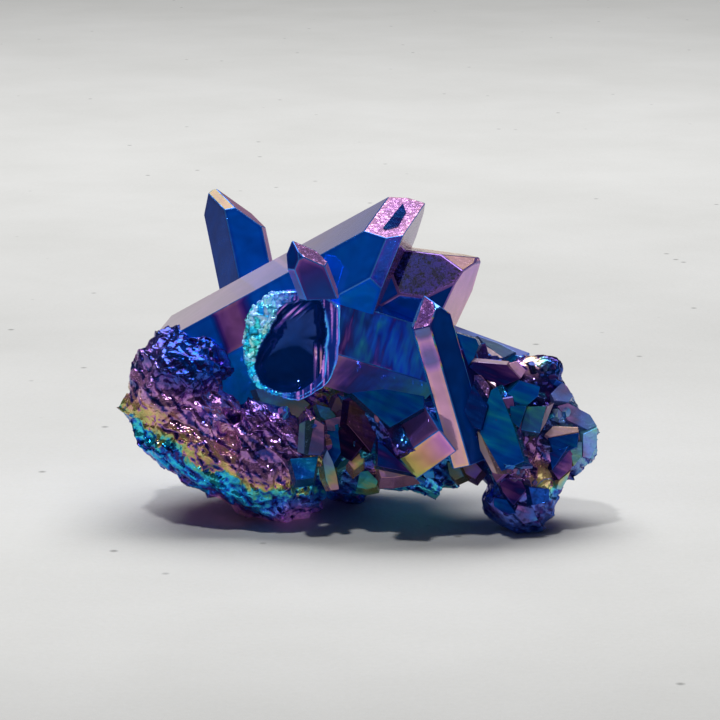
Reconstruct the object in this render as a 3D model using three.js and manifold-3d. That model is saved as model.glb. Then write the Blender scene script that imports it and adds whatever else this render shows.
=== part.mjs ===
// Aura quartz cluster: a group of coated quartz crystals grown together on a rough broken root.
// Millimetres, +Z up. The front faces -Y, and the cut feet rest on z = 0.
import * as THREE from "three";
import { ImprovedNoise } from "three/addons/math/ImprovedNoise.js";
import { mergeVertices } from "three/addons/utils/BufferGeometryUtils.js";
import Module from "manifold-3d";

const wasm = await Module();
wasm.setup();

// --- driving dimensions ---
const rhombTilt = 51.8; // degrees between the growth axis and the normal of a quartz tip face
const blockSize = 160; // side of the raw block that a crystal is cut from
const ledgeStep = 5; // spacing of the broken ledges on the rough root
const ledgeRise = 1.3; // how far each ledge stands out, for a stone of roughness 1
const ledgeFall = [0.45, 0.2, 0.87]; // direction across the ledges, which slope down to the right
const broadLump = { pitch: 7.7, height: 1.6 }; // wide swellings of the stones
const smallLump = { pitch: 2.5, height: 1.4 }; // knobs and pits between them
const stoneFullness = 0.6; // 1 gives a stone a lens-like section, lower values a boxy one
const growthOrigin = [-0.2, 8.2, 0]; // point of the tables below that becomes the object's origin

// Each crystal: a point on its growth axis, the axis as compass heading and rise, the turn of its
// first side about the axis, the distances from the axis to its six sides, how far past the point
// each tip face meets the axis, how far back it reaches, and the planes it is broken off at.
const crystals = [
  {
    name: "main",
    at: [-7.1, 8.2, 40.2],
    heading: -20,
    rise: 30,
    turn: 131.6,
    sides: [13.1, 9.5, 13.1, 11, 14, 14],
    tips: { 0: 38, 1: 30.7, 2: 48, 3: 30.4, 4: 17.8, 5: 38 },
    back: 33,
  },
  {
    name: "back left",
    at: [-24.9, 30.4, 43.4],
    heading: 117,
    rise: 63,
    turn: -22,
    sides: [5.5, 3.8, 2.1, 4.9, 8.3, 4.9],
    tips: { 0: 14.5, 1: 15.7, 2: 17.5, 3: 15.5, 4: 15.2, 5: 15 },
    back: 26,
  },
  {
    name: "right",
    at: [15.2, 14.7, 41.8],
    heading: -10,
    rise: 32.5,
    turn: 109,
    sides: [9, 11, 15, 14.5, 8, 6.5],
    tips: { 0: 20, 1: 9.9, 2: 15.4, 3: 18.3, 4: 8.2, 5: 12 },
    back: 22,
  },
  {
    name: "front broken",
    at: [15.1, 8.7, 28.2],
    heading: 18,
    rise: -20,
    turn: -104,
    sides: [9.6, 9.8, 9.2, 8, 8, 8.2],
    front: -3,
    back: 36,
    breaks: [
      { through: [-10.3, -2.6, 42.3], facing: [-0.07, 0.11, 0.99] },
      { through: [-4.2, -9, 36.1], facing: [-0.32, -0.91, 0.27] },
    ],
  },
  {
    name: "front hollow",
    at: [-12.5, -6.6, 33.9],
    heading: -109,
    rise: 16,
    turn: 117,
    sides: [9, 9, 9, 9, 9, 9],
    front: 0,
    back: 12,
    breaks: [
      { through: [-10.3, -2.6, 42.3], facing: [-0.07, 0.11, 0.99] },
      { through: [-20.7, -4.3, 34.1], facing: [-0.99, -0.15, 0.03] },
    ],
  },
  {
    name: "front long",
    at: [11.8, -11.4, 44],
    heading: 161,
    rise: 73,
    turn: 86,
    sides: [3.5, 2.7, 3.7, 3, 3, 3.7],
    tips: { 0: 0, 1: 1.5, 2: 1, 3: 2, 4: 2, 5: 0.5 },
    back: 31,
  },
  {
    name: "small upper",
    at: [-11.4, -9.4, 53.7],
    heading: -147,
    rise: 67,
    turn: 70,
    sides: [2.5, 3.9, 3, 2.5, 2.5, 3.3],
    tips: { 0: 1.5, 1: 0, 2: 1, 3: 2, 4: 2, 5: 1 },
    back: 12,
  },
  {
    name: "block",
    at: [14.7, -15.3, 21],
    heading: 1,
    rise: 36,
    turn: -135,
    sides: [3.3, 3.6, 5.1, 4, 4, 5.3],
    front: 0,
    back: 9,
  },
  {
    name: "block side",
    at: [8, -19.4, 16.3],
    heading: -47,
    rise: -50,
    turn: -156,
    sides: [2.8, 2.8, 2.8, 2.8, 2.8, 2.8],
    front: 0,
    back: 11,
  },
  {
    name: "right teal",
    at: [25.4, -11.7, 28.4],
    heading: 119,
    rise: 72,
    turn: 164,
    sides: [3, 3.2, 3, 3, 3, 3],
    tips: { 0: 1, 1: 1, 5: 0 },
    back: 18,
  },
  {
    name: "right purple",
    at: [29.0, -8.2, 29.4],
    heading: -30,
    rise: -5,
    turn: -116,
    sides: [2.6, 2.6, 2.6, 2.6, 2.6, 2.6],
    tips: { 0: 0, 1: 1, 5: 0 },
    back: 13,
  },
  {
    name: "ridge",
    at: [30.4, 1.6, 28.2],
    heading: -20,
    rise: -16,
    turn: -118,
    sides: [3.5, 3.5, 3.5, 3, 3, 3],
    front: 0,
    back: 18,
  },
  {
    name: "right banded",
    at: [32.3, -9, 26.3],
    heading: 38,
    rise: 71,
    turn: -110,
    sides: [2.5, 3, 3, 2.5, 2.5, 2.5],
    tips: { 0: 1, 1: 0, 2: 0 },
    back: 14,
  },
  {
    name: "far right wedge",
    at: [39.5, -7, 16.8],
    heading: 26,
    rise: 64,
    turn: -139,
    sides: [2, 2, 2, 2, 2, 2],
    tips: { 0: 1, 1: 0, 2: 0 },
    back: 13,
  },
  {
    name: "far right upper",
    at: [44.7, -0.8, 16.8],
    heading: -1,
    rise: -5,
    turn: -102,
    sides: [3, 3, 3, 3, 3, 3],
    tips: { 0: 0, 1: 1, 2: 1, 4: 1 },
    back: 14,
  },
  {
    name: "far right lower",
    at: [44.1, -3.7, 13.1],
    heading: -8,
    rise: -33,
    turn: -104,
    sides: [3, 3, 3, 3, 3, 3],
    tips: { 0: 0, 1: 1, 2: 1, 4: 1 },
    back: 12,
  },
  {
    name: "lower right",
    at: [21.0, -14.5, 22.5],
    heading: -154,
    rise: 60,
    turn: 63,
    sides: [2.6, 2.6, 2.6, 2.6, 2.6, 2.6],
    tips: { 0: 1, 1: 0, 2: 0 },
    back: 14,
  },
  {
    name: "low front 1",
    at: [-8.1, -10.9, 22.6],
    heading: 90,
    rise: 71,
    turn: -170,
    sides: [2, 2, 2, 2, 2, 2],
    tips: { 0: 1, 1: 0, 2: 0 },
    back: 10,
  },
  {
    name: "low front 2",
    at: [-13.7, -13.3, 20.5],
    heading: -169,
    rise: 63,
    turn: 85,
    sides: [1.6, 1.6, 1.6, 1.6, 1.6, 1.6],
    tips: { 0: 1, 1: 0, 2: 0 },
    back: 8,
  },
  {
    name: "low front 3",
    at: [-1.5, -7.3, 24.8],
    heading: 126,
    rise: 57,
    turn: 174,
    sides: [2.4, 2.4, 2.4, 2.4, 2.4, 2.4],
    tips: { 0: 1, 1: 0, 2: 0 },
    back: 12,
  },
  {
    name: "maroon",
    at: [0.4, -10.6, 24.3],
    heading: -148,
    rise: 77,
    turn: 71,
    sides: [3, 3, 3, 3, 3, 3],
    tips: { 0: 1, 1: 0, 5: 0 },
    back: 9,
  },
  {
    name: "sliver",
    at: [-6.2, -12.1, 17.2],
    heading: -137,
    rise: 77,
    turn: 50,
    sides: [1.5, 1.5, 1.5, 1.5, 1.5, 1.5],
    tips: { 0: 1, 1: 0, 2: 0 },
    back: 8,
  },
  {
    name: "low teal",
    at: [5.9, -8.6, 11.4],
    heading: -174,
    rise: 22,
    turn: 99,
    sides: [2.4, 2.4, 2.4, 2.4, 2.4, 2.4],
    tips: { 0: 1, 1: 0, 2: 0 },
    back: 10,
  },
  {
    name: "gap filler",
    at: [18.7, -4.5, 33.5],
    heading: 142,
    rise: 71,
    turn: 130,
    sides: [4, 4, 4, 4, 4, 4],
    front: 0,
    back: 17,
  },
  {
    name: "back upright",
    at: [2, 24, 38],
    heading: 75,
    rise: 62,
    turn: 20,
    sides: [5, 4, 5, 4.5, 5, 4],
    tips: { 0: 2, 1: 4, 2: 3, 3: 5, 4: 3, 5: 4 },
    back: 24,
  },
  {
    name: "back right",
    at: [24, 22, 26.5],
    heading: 50,
    rise: 38,
    turn: 10,
    sides: [4.5, 4, 4.5, 4, 4.5, 4],
    tips: { 0: 3, 1: 2, 2: 4, 3: 2, 4: 5, 5: 3 },
    back: 18,
  },
  {
    name: "back low",
    at: [-16, 33, 18],
    heading: 110,
    rise: 12,
    turn: 35,
    sides: [3.5, 3, 3.5, 3.2, 3.5, 3],
    tips: { 0: 2, 1: 3, 2: 1, 3: 3, 4: 2, 5: 4 },
    back: 16,
  },
  {
    name: "back left low",
    at: [-36, 19, 22],
    heading: 160,
    rise: 25,
    turn: 0,
    sides: [3.5, 3, 3.5, 3.2, 3.5, 3],
    tips: { 0: 2, 1: 3, 2: 1, 3: 3, 4: 2, 5: 4 },
    back: 14,
  },
];

// Each stone of the rough root: its centre, its outline seen from the front as radii at even
// steps of angle from +X, how far it reaches forward and backward, how rough it is, how finely it
// is faceted, and the planes it is broken off at.
const stones = [
  {
    name: "upper left",
    at: [-34, 3, 27.5],
    outline: [10.3, 10.5, 8, 8, 8.6, 8, 8.8, 12, 12.5, 12, 9, 7.8],
    reach: 13,
    rough: 1.2,
    detail: 6,
    breaks: [
      { through: [-37, -8, 34], facing: [-0.3, -0.8, 0.55] },
      { through: [-28, -9, 24], facing: [0.5, -0.85, 0.1] },
    ],
  },
  {
    name: "lower left",
    at: [-24, 4, 11],
    outline: [20, 15, 10, 9, 13, 22, 14, 9.6, 8, 9, 13, 19],
    reach: 16,
    rough: 1.3,
    detail: 8,
    breaks: [
      { through: [-30, -12, 12], facing: [-0.35, -0.9, -0.25] },
      { through: [-36, -2, 8], facing: [-0.7, -0.3, -0.65] },
    ],
  },
  {
    name: "left waist",
    at: [-32, -1, 19.5],
    outline: [10, 9, 8, 7, 8, 8, 8, 9, 9, 8, 9, 10],
    reach: 11,
    rough: 1.0,
    detail: 5,
    breaks: [
      { through: [-32, -10, 20], facing: [-0.3, -0.95, 0.1] },
    ],
  },
  {
    name: "front left",
    at: [-17, -8.5, 14],
    outline: [6.5, 7.5, 10, 10, 10, 7.5, 6.5, 7.5, 10, 9, 9.5, 7.5],
    reach: 6,
    rough: 0.9,
    detail: 6,
    breaks: [
      { through: [-17, -14, 20], facing: [-0.1, -0.85, 0.5] },
      { through: [-13, -13.5, 8], facing: [0.35, -0.85, -0.4] },
    ],
  },
  {
    name: "middle",
    at: [6, 0, 14.5],
    outline: [20, 16, 11, 9, 11, 16, 20, 16, 10.5, 9, 10, 15],
    reach: 11.5,
    rough: 0.8,
    detail: 7,
    breaks: [
      { through: [6, -10.5, 10], facing: [0.1, -0.8, -0.6] },
    ],
  },
  {
    name: "right",
    at: [30, -2, 17],
    outline: [14.5, 11.5, 13, 13, 13.6, 12, 11, 12, 12.5, 12, 11.9, 14],
    reach: 9,
    rough: 0.7,
    detail: 7,
    breaks: [
      { through: [38, -9.6, 20], facing: [0.5, -0.8, 0.3] },
      { through: [24, -11, 12], facing: [-0.3, -0.9, -0.3] },
    ],
  },
  {
    name: "right foot",
    at: [31, -8.5, 6],
    outline: [5.2, 6, 8, 8, 8, 8, 8.5, 8.5, 7, 6.5, 6.3, 5.8],
    reach: 6,
    rough: 0.5,
    detail: 5,
    breaks: [
      { through: [34, -14, 8], facing: [0.5, -0.8, 0.3] },
      { through: [26, -14.5, 6], facing: [-0.5, -0.8, -0.1] },
    ],
  },
  {
    name: "right cap",
    at: [33, -2, 28],
    outline: [5, 5.5, 4.5, 4, 4.5, 5.5, 5, 5.5, 5, 5, 5, 5.5],
    reach: 5,
    rough: 0.3,
    detail: 3,
  },
  {
    name: "back",
    at: [-2, 14, 17],
    outline: [24, 22, 17, 15, 17, 22, 24, 20, 17, 17.5, 14, 16],
    reach: 11,
    rough: 1.2,
    detail: 7,
    breaks: [
      { through: [10, 23, 12], facing: [0.3, 0.9, -0.1] },
      { through: [-14, 24, 20], facing: [-0.4, 0.9, 0.2] },
    ],
  },
];

// Shell-shaped hollows knocked out of the broken ends: centre and half sizes.
const hollows = [{ at: [-12.3, -8.3, 34.6], size: [6.8, 5.2, 8.4] }];

const radians = THREE.MathUtils.degToRad;
const noise = new ImprovedNoise();

// A closed three.js geometry as a manifold-3d solid.
function solidOf(geometry) {
  const bare = geometry.clone();
  bare.deleteAttribute("normal");
  bare.deleteAttribute("uv");
  const merged = mergeVertices(bare, 1e-4);
  return new wasm.Manifold(
    new wasm.Mesh({
      numProp: 3,
      vertProperties: merged.attributes.position.array,
      triVerts: new Uint32Array(merged.index.array),
    }),
  );
}

// Keeps the part of a solid behind a plane: normal . p <= distance.
function cut(solid, normal, distance) {
  return solid.trimByPlane([-normal.x, -normal.y, -normal.z], -distance);
}

function breakOff(solid, breaks) {
  return breaks.reduce((left, { through, facing }) => {
    const normal = new THREE.Vector3(...facing).normalize();
    return cut(left, normal, normal.dot(new THREE.Vector3(...through)));
  }, solid);
}

// A six-sided crystal: a block cut by its sides, its slanting tip faces, its ends and its breaks.
function crystalSolid({ at, heading, rise, turn, sides, tips = {}, front, back, breaks = [] }) {
  const axisTilt = radians(90 - rise);
  const toWorld = new THREE.Matrix4()
    .makeTranslation(...at)
    .multiply(new THREE.Matrix4().makeRotationZ(radians(heading)))
    .multiply(new THREE.Matrix4().makeRotationY(axisTilt))
    .multiply(new THREE.Matrix4().makeRotationZ(radians(turn)));
  let solid = solidOf(new THREE.BoxGeometry(blockSize, blockSize, blockSize));
  const up = new THREE.Vector3(0, 0, 1);
  sides.forEach((distance, k) => {
    const side = new THREE.Vector3(1, 0, 0).applyAxisAngle(up, radians(60 * k));
    solid = cut(solid, side, distance);
  });
  for (const [k, ahead] of Object.entries(tips)) {
    const tip = new THREE.Vector3(0, 0, 1)
      .applyAxisAngle(new THREE.Vector3(0, 1, 0), radians(rhombTilt))
      .applyAxisAngle(up, radians(60 * k));
    solid = cut(solid, tip, ahead * Math.cos(radians(rhombTilt)));
  }
  if (front !== undefined) solid = cut(solid, up, front);
  solid = cut(solid, up.clone().negate(), back);
  return breakOff(solid.transform(toWorld.elements), breaks);
}

// The radius of an outline at an angle, by a smooth (Catmull-Rom) curve through its even steps.
function outlineRadius(outline, angle) {
  const step = (2 * Math.PI) / outline.length;
  const turns = (angle / step + outline.length) % outline.length;
  const k = Math.floor(turns);
  const t = turns - k;
  const [a, b, c, d] = [-1, 0, 1, 2].map((i) => outline[(k + i + outline.length) % outline.length]);
  return b + 0.5 * t * (c - a + t * (2 * a - 5 * b + 4 * c - d + t * (3 * (b - c) + d - a)));
}

// How far the surface of a rough stone stands out at a point: broad lumps, small lumps and ledges.
function roughness(p) {
  const lumps = [broadLump, smallLump].map(
    ({ pitch, height }) => height * noise.noise(p.x / pitch, p.y / pitch, p.z / pitch),
  );
  const across = p.dot(new THREE.Vector3(...ledgeFall)) / ledgeStep;
  return lumps[0] + lumps[1] + ledgeRise * (across - Math.floor(across) - 0.5);
}

// A stone: a faceted ball pushed out to its outline, roughened, then broken off at its planes.
function stoneSolid({ at, outline, reach, rough, detail, breaks = [] }) {
  const geometry = new THREE.IcosahedronGeometry(1, detail);
  const place = geometry.attributes.position;
  const centre = new THREE.Vector3(...at);
  const p = new THREE.Vector3();
  for (let i = 0; i < place.count; i++) {
    p.fromBufferAttribute(place, i);
    const spread = Math.max(Math.hypot(p.x, p.z), 1e-6);
    const radius = outlineRadius(outline, Math.atan2(p.z, p.x)) * spread ** stoneFullness;
    const q = new THREE.Vector3((p.x / spread) * radius, p.y * reach, (p.z / spread) * radius);
    q.add(centre);
    q.addScaledVector(p, rough * roughness(q));
    place.setXYZ(i, q.x, q.y, q.z);
  }
  return breakOff(solidOf(geometry), breaks);
}

const hollowSolid = ({ at, size }) =>
  solidOf(new THREE.IcosahedronGeometry(1, 3).scale(...size).translate(...at));

const grown = wasm.Manifold.union([...crystals.map(crystalSolid), ...stones.map(stoneSolid)]);
const hollowed = grown.subtract(wasm.Manifold.union(hollows.map(hollowSolid)));
const cluster = cut(hollowed, new THREE.Vector3(0, 0, -1), 0);

// The outer skin alone: pockets sealed off between the grown stones are solid quartz.
const skins = cluster.decompose().sort((a, b) => b.volume() - a.volume());
const made = skins[0].getMesh();
const skin = new THREE.BufferGeometry();
skin.setAttribute("position", new THREE.BufferAttribute(made.vertProperties, 3));
skin.setIndex(new THREE.BufferAttribute(made.triVerts, 1));
skin.translate(...growthOrigin.map((distance) => -distance));
const geometry = skin.toNonIndexed(); // flat facets: no shading runs round an edge
geometry.computeVertexNormals();

const coating = new THREE.MeshStandardMaterial({
  color: 0x1b3f9e,
  roughness: 0.15,
  metalness: 0.9,
});
const mesh = new THREE.Mesh(geometry, coating);
mesh.name = "quartz_cluster";

const root = new THREE.Group();
root.add(mesh);
export default root;
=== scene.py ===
import math
import random
import bpy
import numpy as np
from mathutils import Matrix, Vector, noise


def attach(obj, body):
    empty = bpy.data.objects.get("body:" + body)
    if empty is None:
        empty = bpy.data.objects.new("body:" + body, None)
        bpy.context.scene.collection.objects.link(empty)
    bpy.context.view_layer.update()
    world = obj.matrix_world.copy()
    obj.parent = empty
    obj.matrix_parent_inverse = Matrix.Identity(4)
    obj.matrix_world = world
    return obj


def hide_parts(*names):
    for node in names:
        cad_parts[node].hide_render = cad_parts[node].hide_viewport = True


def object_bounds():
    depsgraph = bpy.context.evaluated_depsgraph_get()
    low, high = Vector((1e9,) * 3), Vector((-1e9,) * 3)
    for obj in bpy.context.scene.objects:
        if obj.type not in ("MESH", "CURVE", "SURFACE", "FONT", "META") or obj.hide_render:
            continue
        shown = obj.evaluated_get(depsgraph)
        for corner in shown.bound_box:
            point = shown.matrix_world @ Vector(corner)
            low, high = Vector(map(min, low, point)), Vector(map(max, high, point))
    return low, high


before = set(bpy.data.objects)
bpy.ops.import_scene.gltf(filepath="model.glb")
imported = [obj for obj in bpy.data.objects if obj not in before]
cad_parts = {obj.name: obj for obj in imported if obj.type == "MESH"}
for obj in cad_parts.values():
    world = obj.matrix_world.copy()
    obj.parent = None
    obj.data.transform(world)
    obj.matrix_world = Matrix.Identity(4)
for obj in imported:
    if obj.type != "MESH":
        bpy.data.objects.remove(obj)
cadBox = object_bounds()

# Aura quartz cluster: coated quartz crystals on a rough root, in metres, +Z up, front at -Y.
# The crystal tables are in millimetres and in the growth frame.
mm = 0.001
growthOrigin = Vector((-0.2, 8.2, 0))
rhombTilt = math.radians(51.8)  # tip face normal to growth axis
seed = 7
noise.seed_set(seed)  # the noise vectors would follow the clock otherwise

# coating colour goes round this ring as the film thickens; a film value is a place on it
filmColours = [
    (0.00, (0.06, 0.03, 0.42)),  # indigo
    (0.08, (0.00, 0.08, 0.62)),
    (0.15, (0.00, 0.15, 0.92)),  # royal blue
    (0.27, (0.00, 0.32, 0.90)),
    (0.38, (0.03, 0.62, 0.84)),  # cyan
    (0.46, (0.08, 0.60, 0.48)),
    (0.54, (0.46, 0.58, 0.16)),  # yellow-green
    (0.62, (0.86, 0.62, 0.18)),  # gold
    (0.70, (0.90, 0.44, 0.30)),
    (0.79, (0.82, 0.34, 0.62)),  # pink
    (0.87, (0.60, 0.20, 0.74)),
    (0.94, (0.26, 0.08, 0.60)),  # purple
    (1.00, (0.06, 0.03, 0.42)),
]


def face(root, tip=None, pearlSheen=0.0, etch=0.0, shade=1.0, stripes=0.0):
    # film at the root and at the tip, then how much painted sheen washes it out, how etched, how bright and
    # how striped; the brightness is partly the coating's own depth and partly painted light and shade
    return root, root if tip is None else tip, pearlSheen, etch, shade, stripes


# how the two coatings look; sizes of the relief in metres
coatingLook = {
    "pearlSheen": (0.74, 0.69, 0.74),  # painted reflection: the pale backdrop that grazing faces mirror, mixed over the film
    "pearlMetallic": 0.75,  # how much of the metallic a fully washed-out face loses
    "darkMetallic": (1.3, 3.2),  # metallic of the darkest faces: the first less the second times brightness
    "etchDrift": 0.16, "stripeDrift": 1.1,  # how far etching and growth bands move the film
    "fineChips": 2.7,  # how many times smaller the second set of chips is
    # scale, detail and distortion, per metre; bands and lines go by the growth frame's own mm instead
    "noises": {
        "slow": (110.0, 2.0), "fine": (1200.0, 3.0), "veils": (170.0, 1.0, 1.5), "bands": (1.0, 2.0, 0.3),
        "lines": (1.0, 3.0), "grain": (2200.0, 2.0), "waves": (300.0, 2.0, 0.6),
    },
    "bandScale": (0.12, 0.12, 0.55), "lineScale": (0.10, 0.10, 3.2),
    # paintedGlow is a faint emission of the film's colour: painted light that lifts the shaded faces, though
    # the coating is no lamp
    "crystal": {
        "roughness": 0.08, "etchedRoughness": 0.30, "metallic": 0.60, "drift": 0.10, "fineDrift": 0.0,
        "veils": 0.9, "waves": 0.00004, "lines": 0.000006, "grain": 0.00002, "chips": 1500.0, "chipTilt": 0.5,
        "coat": 0.10, "coatRoughness": 0.04, "coatIor": 1.5, "grazingTint": (0.55, 0.50, 0.75), "paintedGlow": 0.08,
    },
    "root": {
        "roughness": 0.10, "etchedRoughness": 0.24, "metallic": 0.85, "drift": 0.20, "fineDrift": 0.1,
        "veils": 1.0, "waves": 0.0, "lines": 0.0, "grain": 0.00004, "chips": 800.0, "chipTilt": 0.5,
        "coat": 0.25, "coatRoughness": 0.06, "coatIor": 1.5, "grazingTint": (0.7, 0.6, 0.8), "paintedGlow": 0.02,
    },
}

# One entry a crystal: its growth point, the way its axis goes, and how far each face is from that point.
# film gives the look of a face. A face is m0..m5 (sides), t0..t5 (tip faces), front or b0.. (breaks and
# chips, planes given by a point and the way they face); edge is the worn rim.
# bands cross a face: at and half width in mm along the axis, film, brightness. fades: the share of the
# pearl that a face loses by its tip. hollowed: the hollow of the broken crystal cuts into it.
# Brightness in these looks is partly the coating's own depth and partly painted light and shade.
crystals = {
    "main": {
        "bands": {"m2": ((-12.5, 4.0, -0.12, 0.6),)}, "fades": {"m1": 0.5}, "hollowed": True,
        "at": (-7.1, 8.2, 40.2), "heading": -20, "rise": 30, "turn": 131.6,
        "sides": (13.1, 9.5, 13.1, 11, 14, 14), "back": 33,
        "tips": {0: 38, 1: 30.7, 2: 48, 3: 30.4, 4: 17.8, 5: 38},
        "film": {
            "m1": face(0.80, 1.12, 0.92, shade=0.9), "m2": face(0.17, 0.14, shade=0.85),
            # m3 is brightened as painted light: the root shades it
            "m3": face(0.26, 0.16, shade=1.3),
            "t1": face(0.88, 0.85, 0.25, 0.8, 1.2), "t3": face(0.16, 0.06, 0.0, 0.35, 0.8),
            "t4": face(0.16, -0.20, 0.0, 0.1, 0.24), "sides": face(0.14, shade=0.8),
        },
    },
    "back_left": {
        "at": (-24.9, 30.4, 43.4), "heading": 117, "rise": 63, "turn": -22,
        "sides": (5.5, 3.8, 2.1, 4.9, 8.3, 4.9), "back": 26,
        "tips": {0: 14.5, 1: 15.7, 2: 17.5, 3: 15.5, 4: 15.2, 5: 15},
        "film": {
            # t3 is darkened as painted shade: it would mirror the overhead lamp
            "t3": face(0.72, 0.66, 0.05, shade=0.13), "t4": face(0.88, 0.80, 0.2, shade=0.6),
            "m2": face(0.18, 0.13, shade=0.24),
            "m3": face(0.17, 0.12, shade=0.9), "m4": face(0.88, 0.80, 0.3, shade=0.8), "sides": face(0.14),
            "tips": face(0.80, 0.7, 0.4),
        },
    },
    "right": {
        "at": (15.2, 14.7, 41.8), "heading": -10, "rise": 32.5, "turn": 109,
        "sides": (9, 11, 15, 14.5, 8, 6.5), "back": 22, "bevel": 0.28,
        "tips": {0: 20, 1: 9.9, 2: 15.4, 3: 18.3, 4: 8.2, 5: 12},
        "chips": [((21.3, 12, 46.6), (0.45, -0.2, 0.87)), ((22.3, 12, 45.2), (0.85, -0.2, 0.48))],
        "film": {
            # t2 is darkened as painted shade: it would mirror the overhead lamp
            "t2": face(0.12, -0.02, 0.0, 0.10, 0.075), "t3": face(0.14, 0.12, shade=0.5),
            "t4": face(0.40, 0.86, 0.12, shade=0.85),
            "t1": face(0.80, 0.64, 0.3, 0.3), "m4": face(0.80, 0.72, 0.3), "m2": face(0.14),
            "sides": face(0.12, shade=0.8),
            "edge": face(0.04, pearlSheen=0.1, shade=0.5),
            "b0": face(0.66, 0.74, 0.3, 0.2), "b1": face(0.80, 0.84, 0.2, 0.2),
        },
    },
    "front_long": {
        "at": (11.8, -11.4, 44), "heading": 161, "rise": 73, "turn": 86,
        "sides": (3.5, 2.7, 3.7, 3, 3, 3.7), "back": 31,
        "tips": {0: 0, 1: 1.5, 2: 1, 3: 2, 4: 2, 5: 0.5},
        "bands": {"m0": ((-4.6, 1.6, 1.14, 0.6), (-10.5, 2.2, 1.02, 0.8))},
        "film": {
            "m0": face(0.74, 0.87, 0.18, 0.05, 0.8), "m1": face(0.13, 0.12, shade=0.42),
            "m5": face(0.36, 0.30, shade=0.8),
            "t0": face(0.88, 0.94, 0.05, 0.8, 0.5), "tips": face(0.36, 0.30, 0.2),
        },
    },
    "small_upper": {
        "at": (-11.4, -9.4, 53.7), "heading": -147, "rise": 67, "turn": 70,
        "sides": (2.5, 3.9, 3, 2.5, 2.5, 3.3), "back": 12, "chips": [((-11.4, -9.4, 43.6), (0, 0, -1))],
        "tips": {0: 1.5, 1: 0, 2: 1, 3: 2, 4: 2, 5: 1},
        "film": {
            "m0": face(0.14, -0.10, 0.0, 0.0, 0.35), "m1": face(0.80, 0.90, 0.1, shade=0.6),
            "m5": face(0.34, -0.16, 0.25, 0.0, 0.9),
            "t0": face(0.12, shade=0.6), "t1": face(0.92, 0.88, 0.1, 0.3, 0.45), "t5": face(0.10, shade=0.5),
            # its hidden sides are darkened as painted shade, so that the main crystal mirrors less of them
            "sides": face(0.14, shade=0.08),
        },
    },
    "block": {
        "at": (14.7, -15.3, 21), "heading": 1, "rise": 36, "turn": -135,
        "sides": (3.3, 3.6, 5.1, 4, 4, 5.3), "back": 9, "front": 0,
        "film": {
            "m0": face(-0.08, -0.03, 0.05, 0.1, 0.34), "m1": face(0.57, 0.88, 0.0, 0.05, 0.66),
            "front": face(0.38, 0.2, shade=0.5),
            "sides": face(0.1, shade=0.3),
        },
    },
    "ridge": {
        "at": (30.4, 1.6, 28.2), "heading": -20, "rise": -16, "turn": -118,
        "sides": (3.5, 3.5, 3.5, 3, 3, 3), "back": 18, "front": 0,
        "film": {
            "m0": face(0.18, 0.26, shade=0.55), "m1": face(0.10, 0.16, shade=0.45),
            "m5": face(0.18, 0.12, 0.35), "sides": face(0.14),
            "front": face(0.2, shade=0.6),
        },
    },
    "gap_filler": {
        "at": (18.7, -4.5, 33.5), "heading": 142, "rise": 71, "turn": 130,
        "sides": (4, 4, 4, 4, 4, 4), "back": 17, "front": 0,
        "film": {
            "sides": face(0.08, 0.0, 0.0, 0.2, 0.3),
        },
    },
    "back_upright": {
        "at": (2, 24, 38), "heading": 75, "rise": 62, "turn": 20,
        "sides": (5, 4, 5, 4.5, 5, 4), "back": 24, "tips": {0: 2, 1: 4, 2: 3, 3: 5, 4: 3, 5: 4},
        "film": {
            "sides": face(0.17, 0.10), "tips": face(0.0, -0.08, 0.1, 0.5),
        },
    },
    "back_right": {
        "at": (24, 22, 26.5), "heading": 50, "rise": 38, "turn": 10,
        "sides": (4.5, 4, 4.5, 4, 4.5, 4), "back": 18, "tips": {0: 3, 1: 2, 2: 4, 3: 2, 4: 5, 5: 3},
        "film": {
            "sides": face(0.10, 0.2), "tips": face(0.80, 0.86, 0.3, 0.3),
        },
    },
    "back_low": {
        "at": (-16, 33, 18), "heading": 110, "rise": 12, "turn": 35,
        "sides": (3.5, 3, 3.5, 3.2, 3.5, 3), "back": 16, "tips": {0: 2, 1: 3, 2: 1, 3: 3, 4: 2, 5: 4},
        "film": {
            "sides": face(0.24, 0.14), "tips": face(-0.08, -0.12, 0.1, 0.3),
        },
    },
    "back_left_low": {
        "at": (-36, 19, 22), "heading": 160, "rise": 25, "turn": 0,
        "sides": (3.5, 3, 3.5, 3.2, 3.5, 3), "back": 14, "tips": {0: 2, 1: 3, 2: 1, 3: 3, 4: 2, 5: 4},
        "film": {
            "sides": face(0.12, 0.04), "tips": face(0.28, 0.36, 0.1, 0.3),
        },
    },
}

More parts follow.
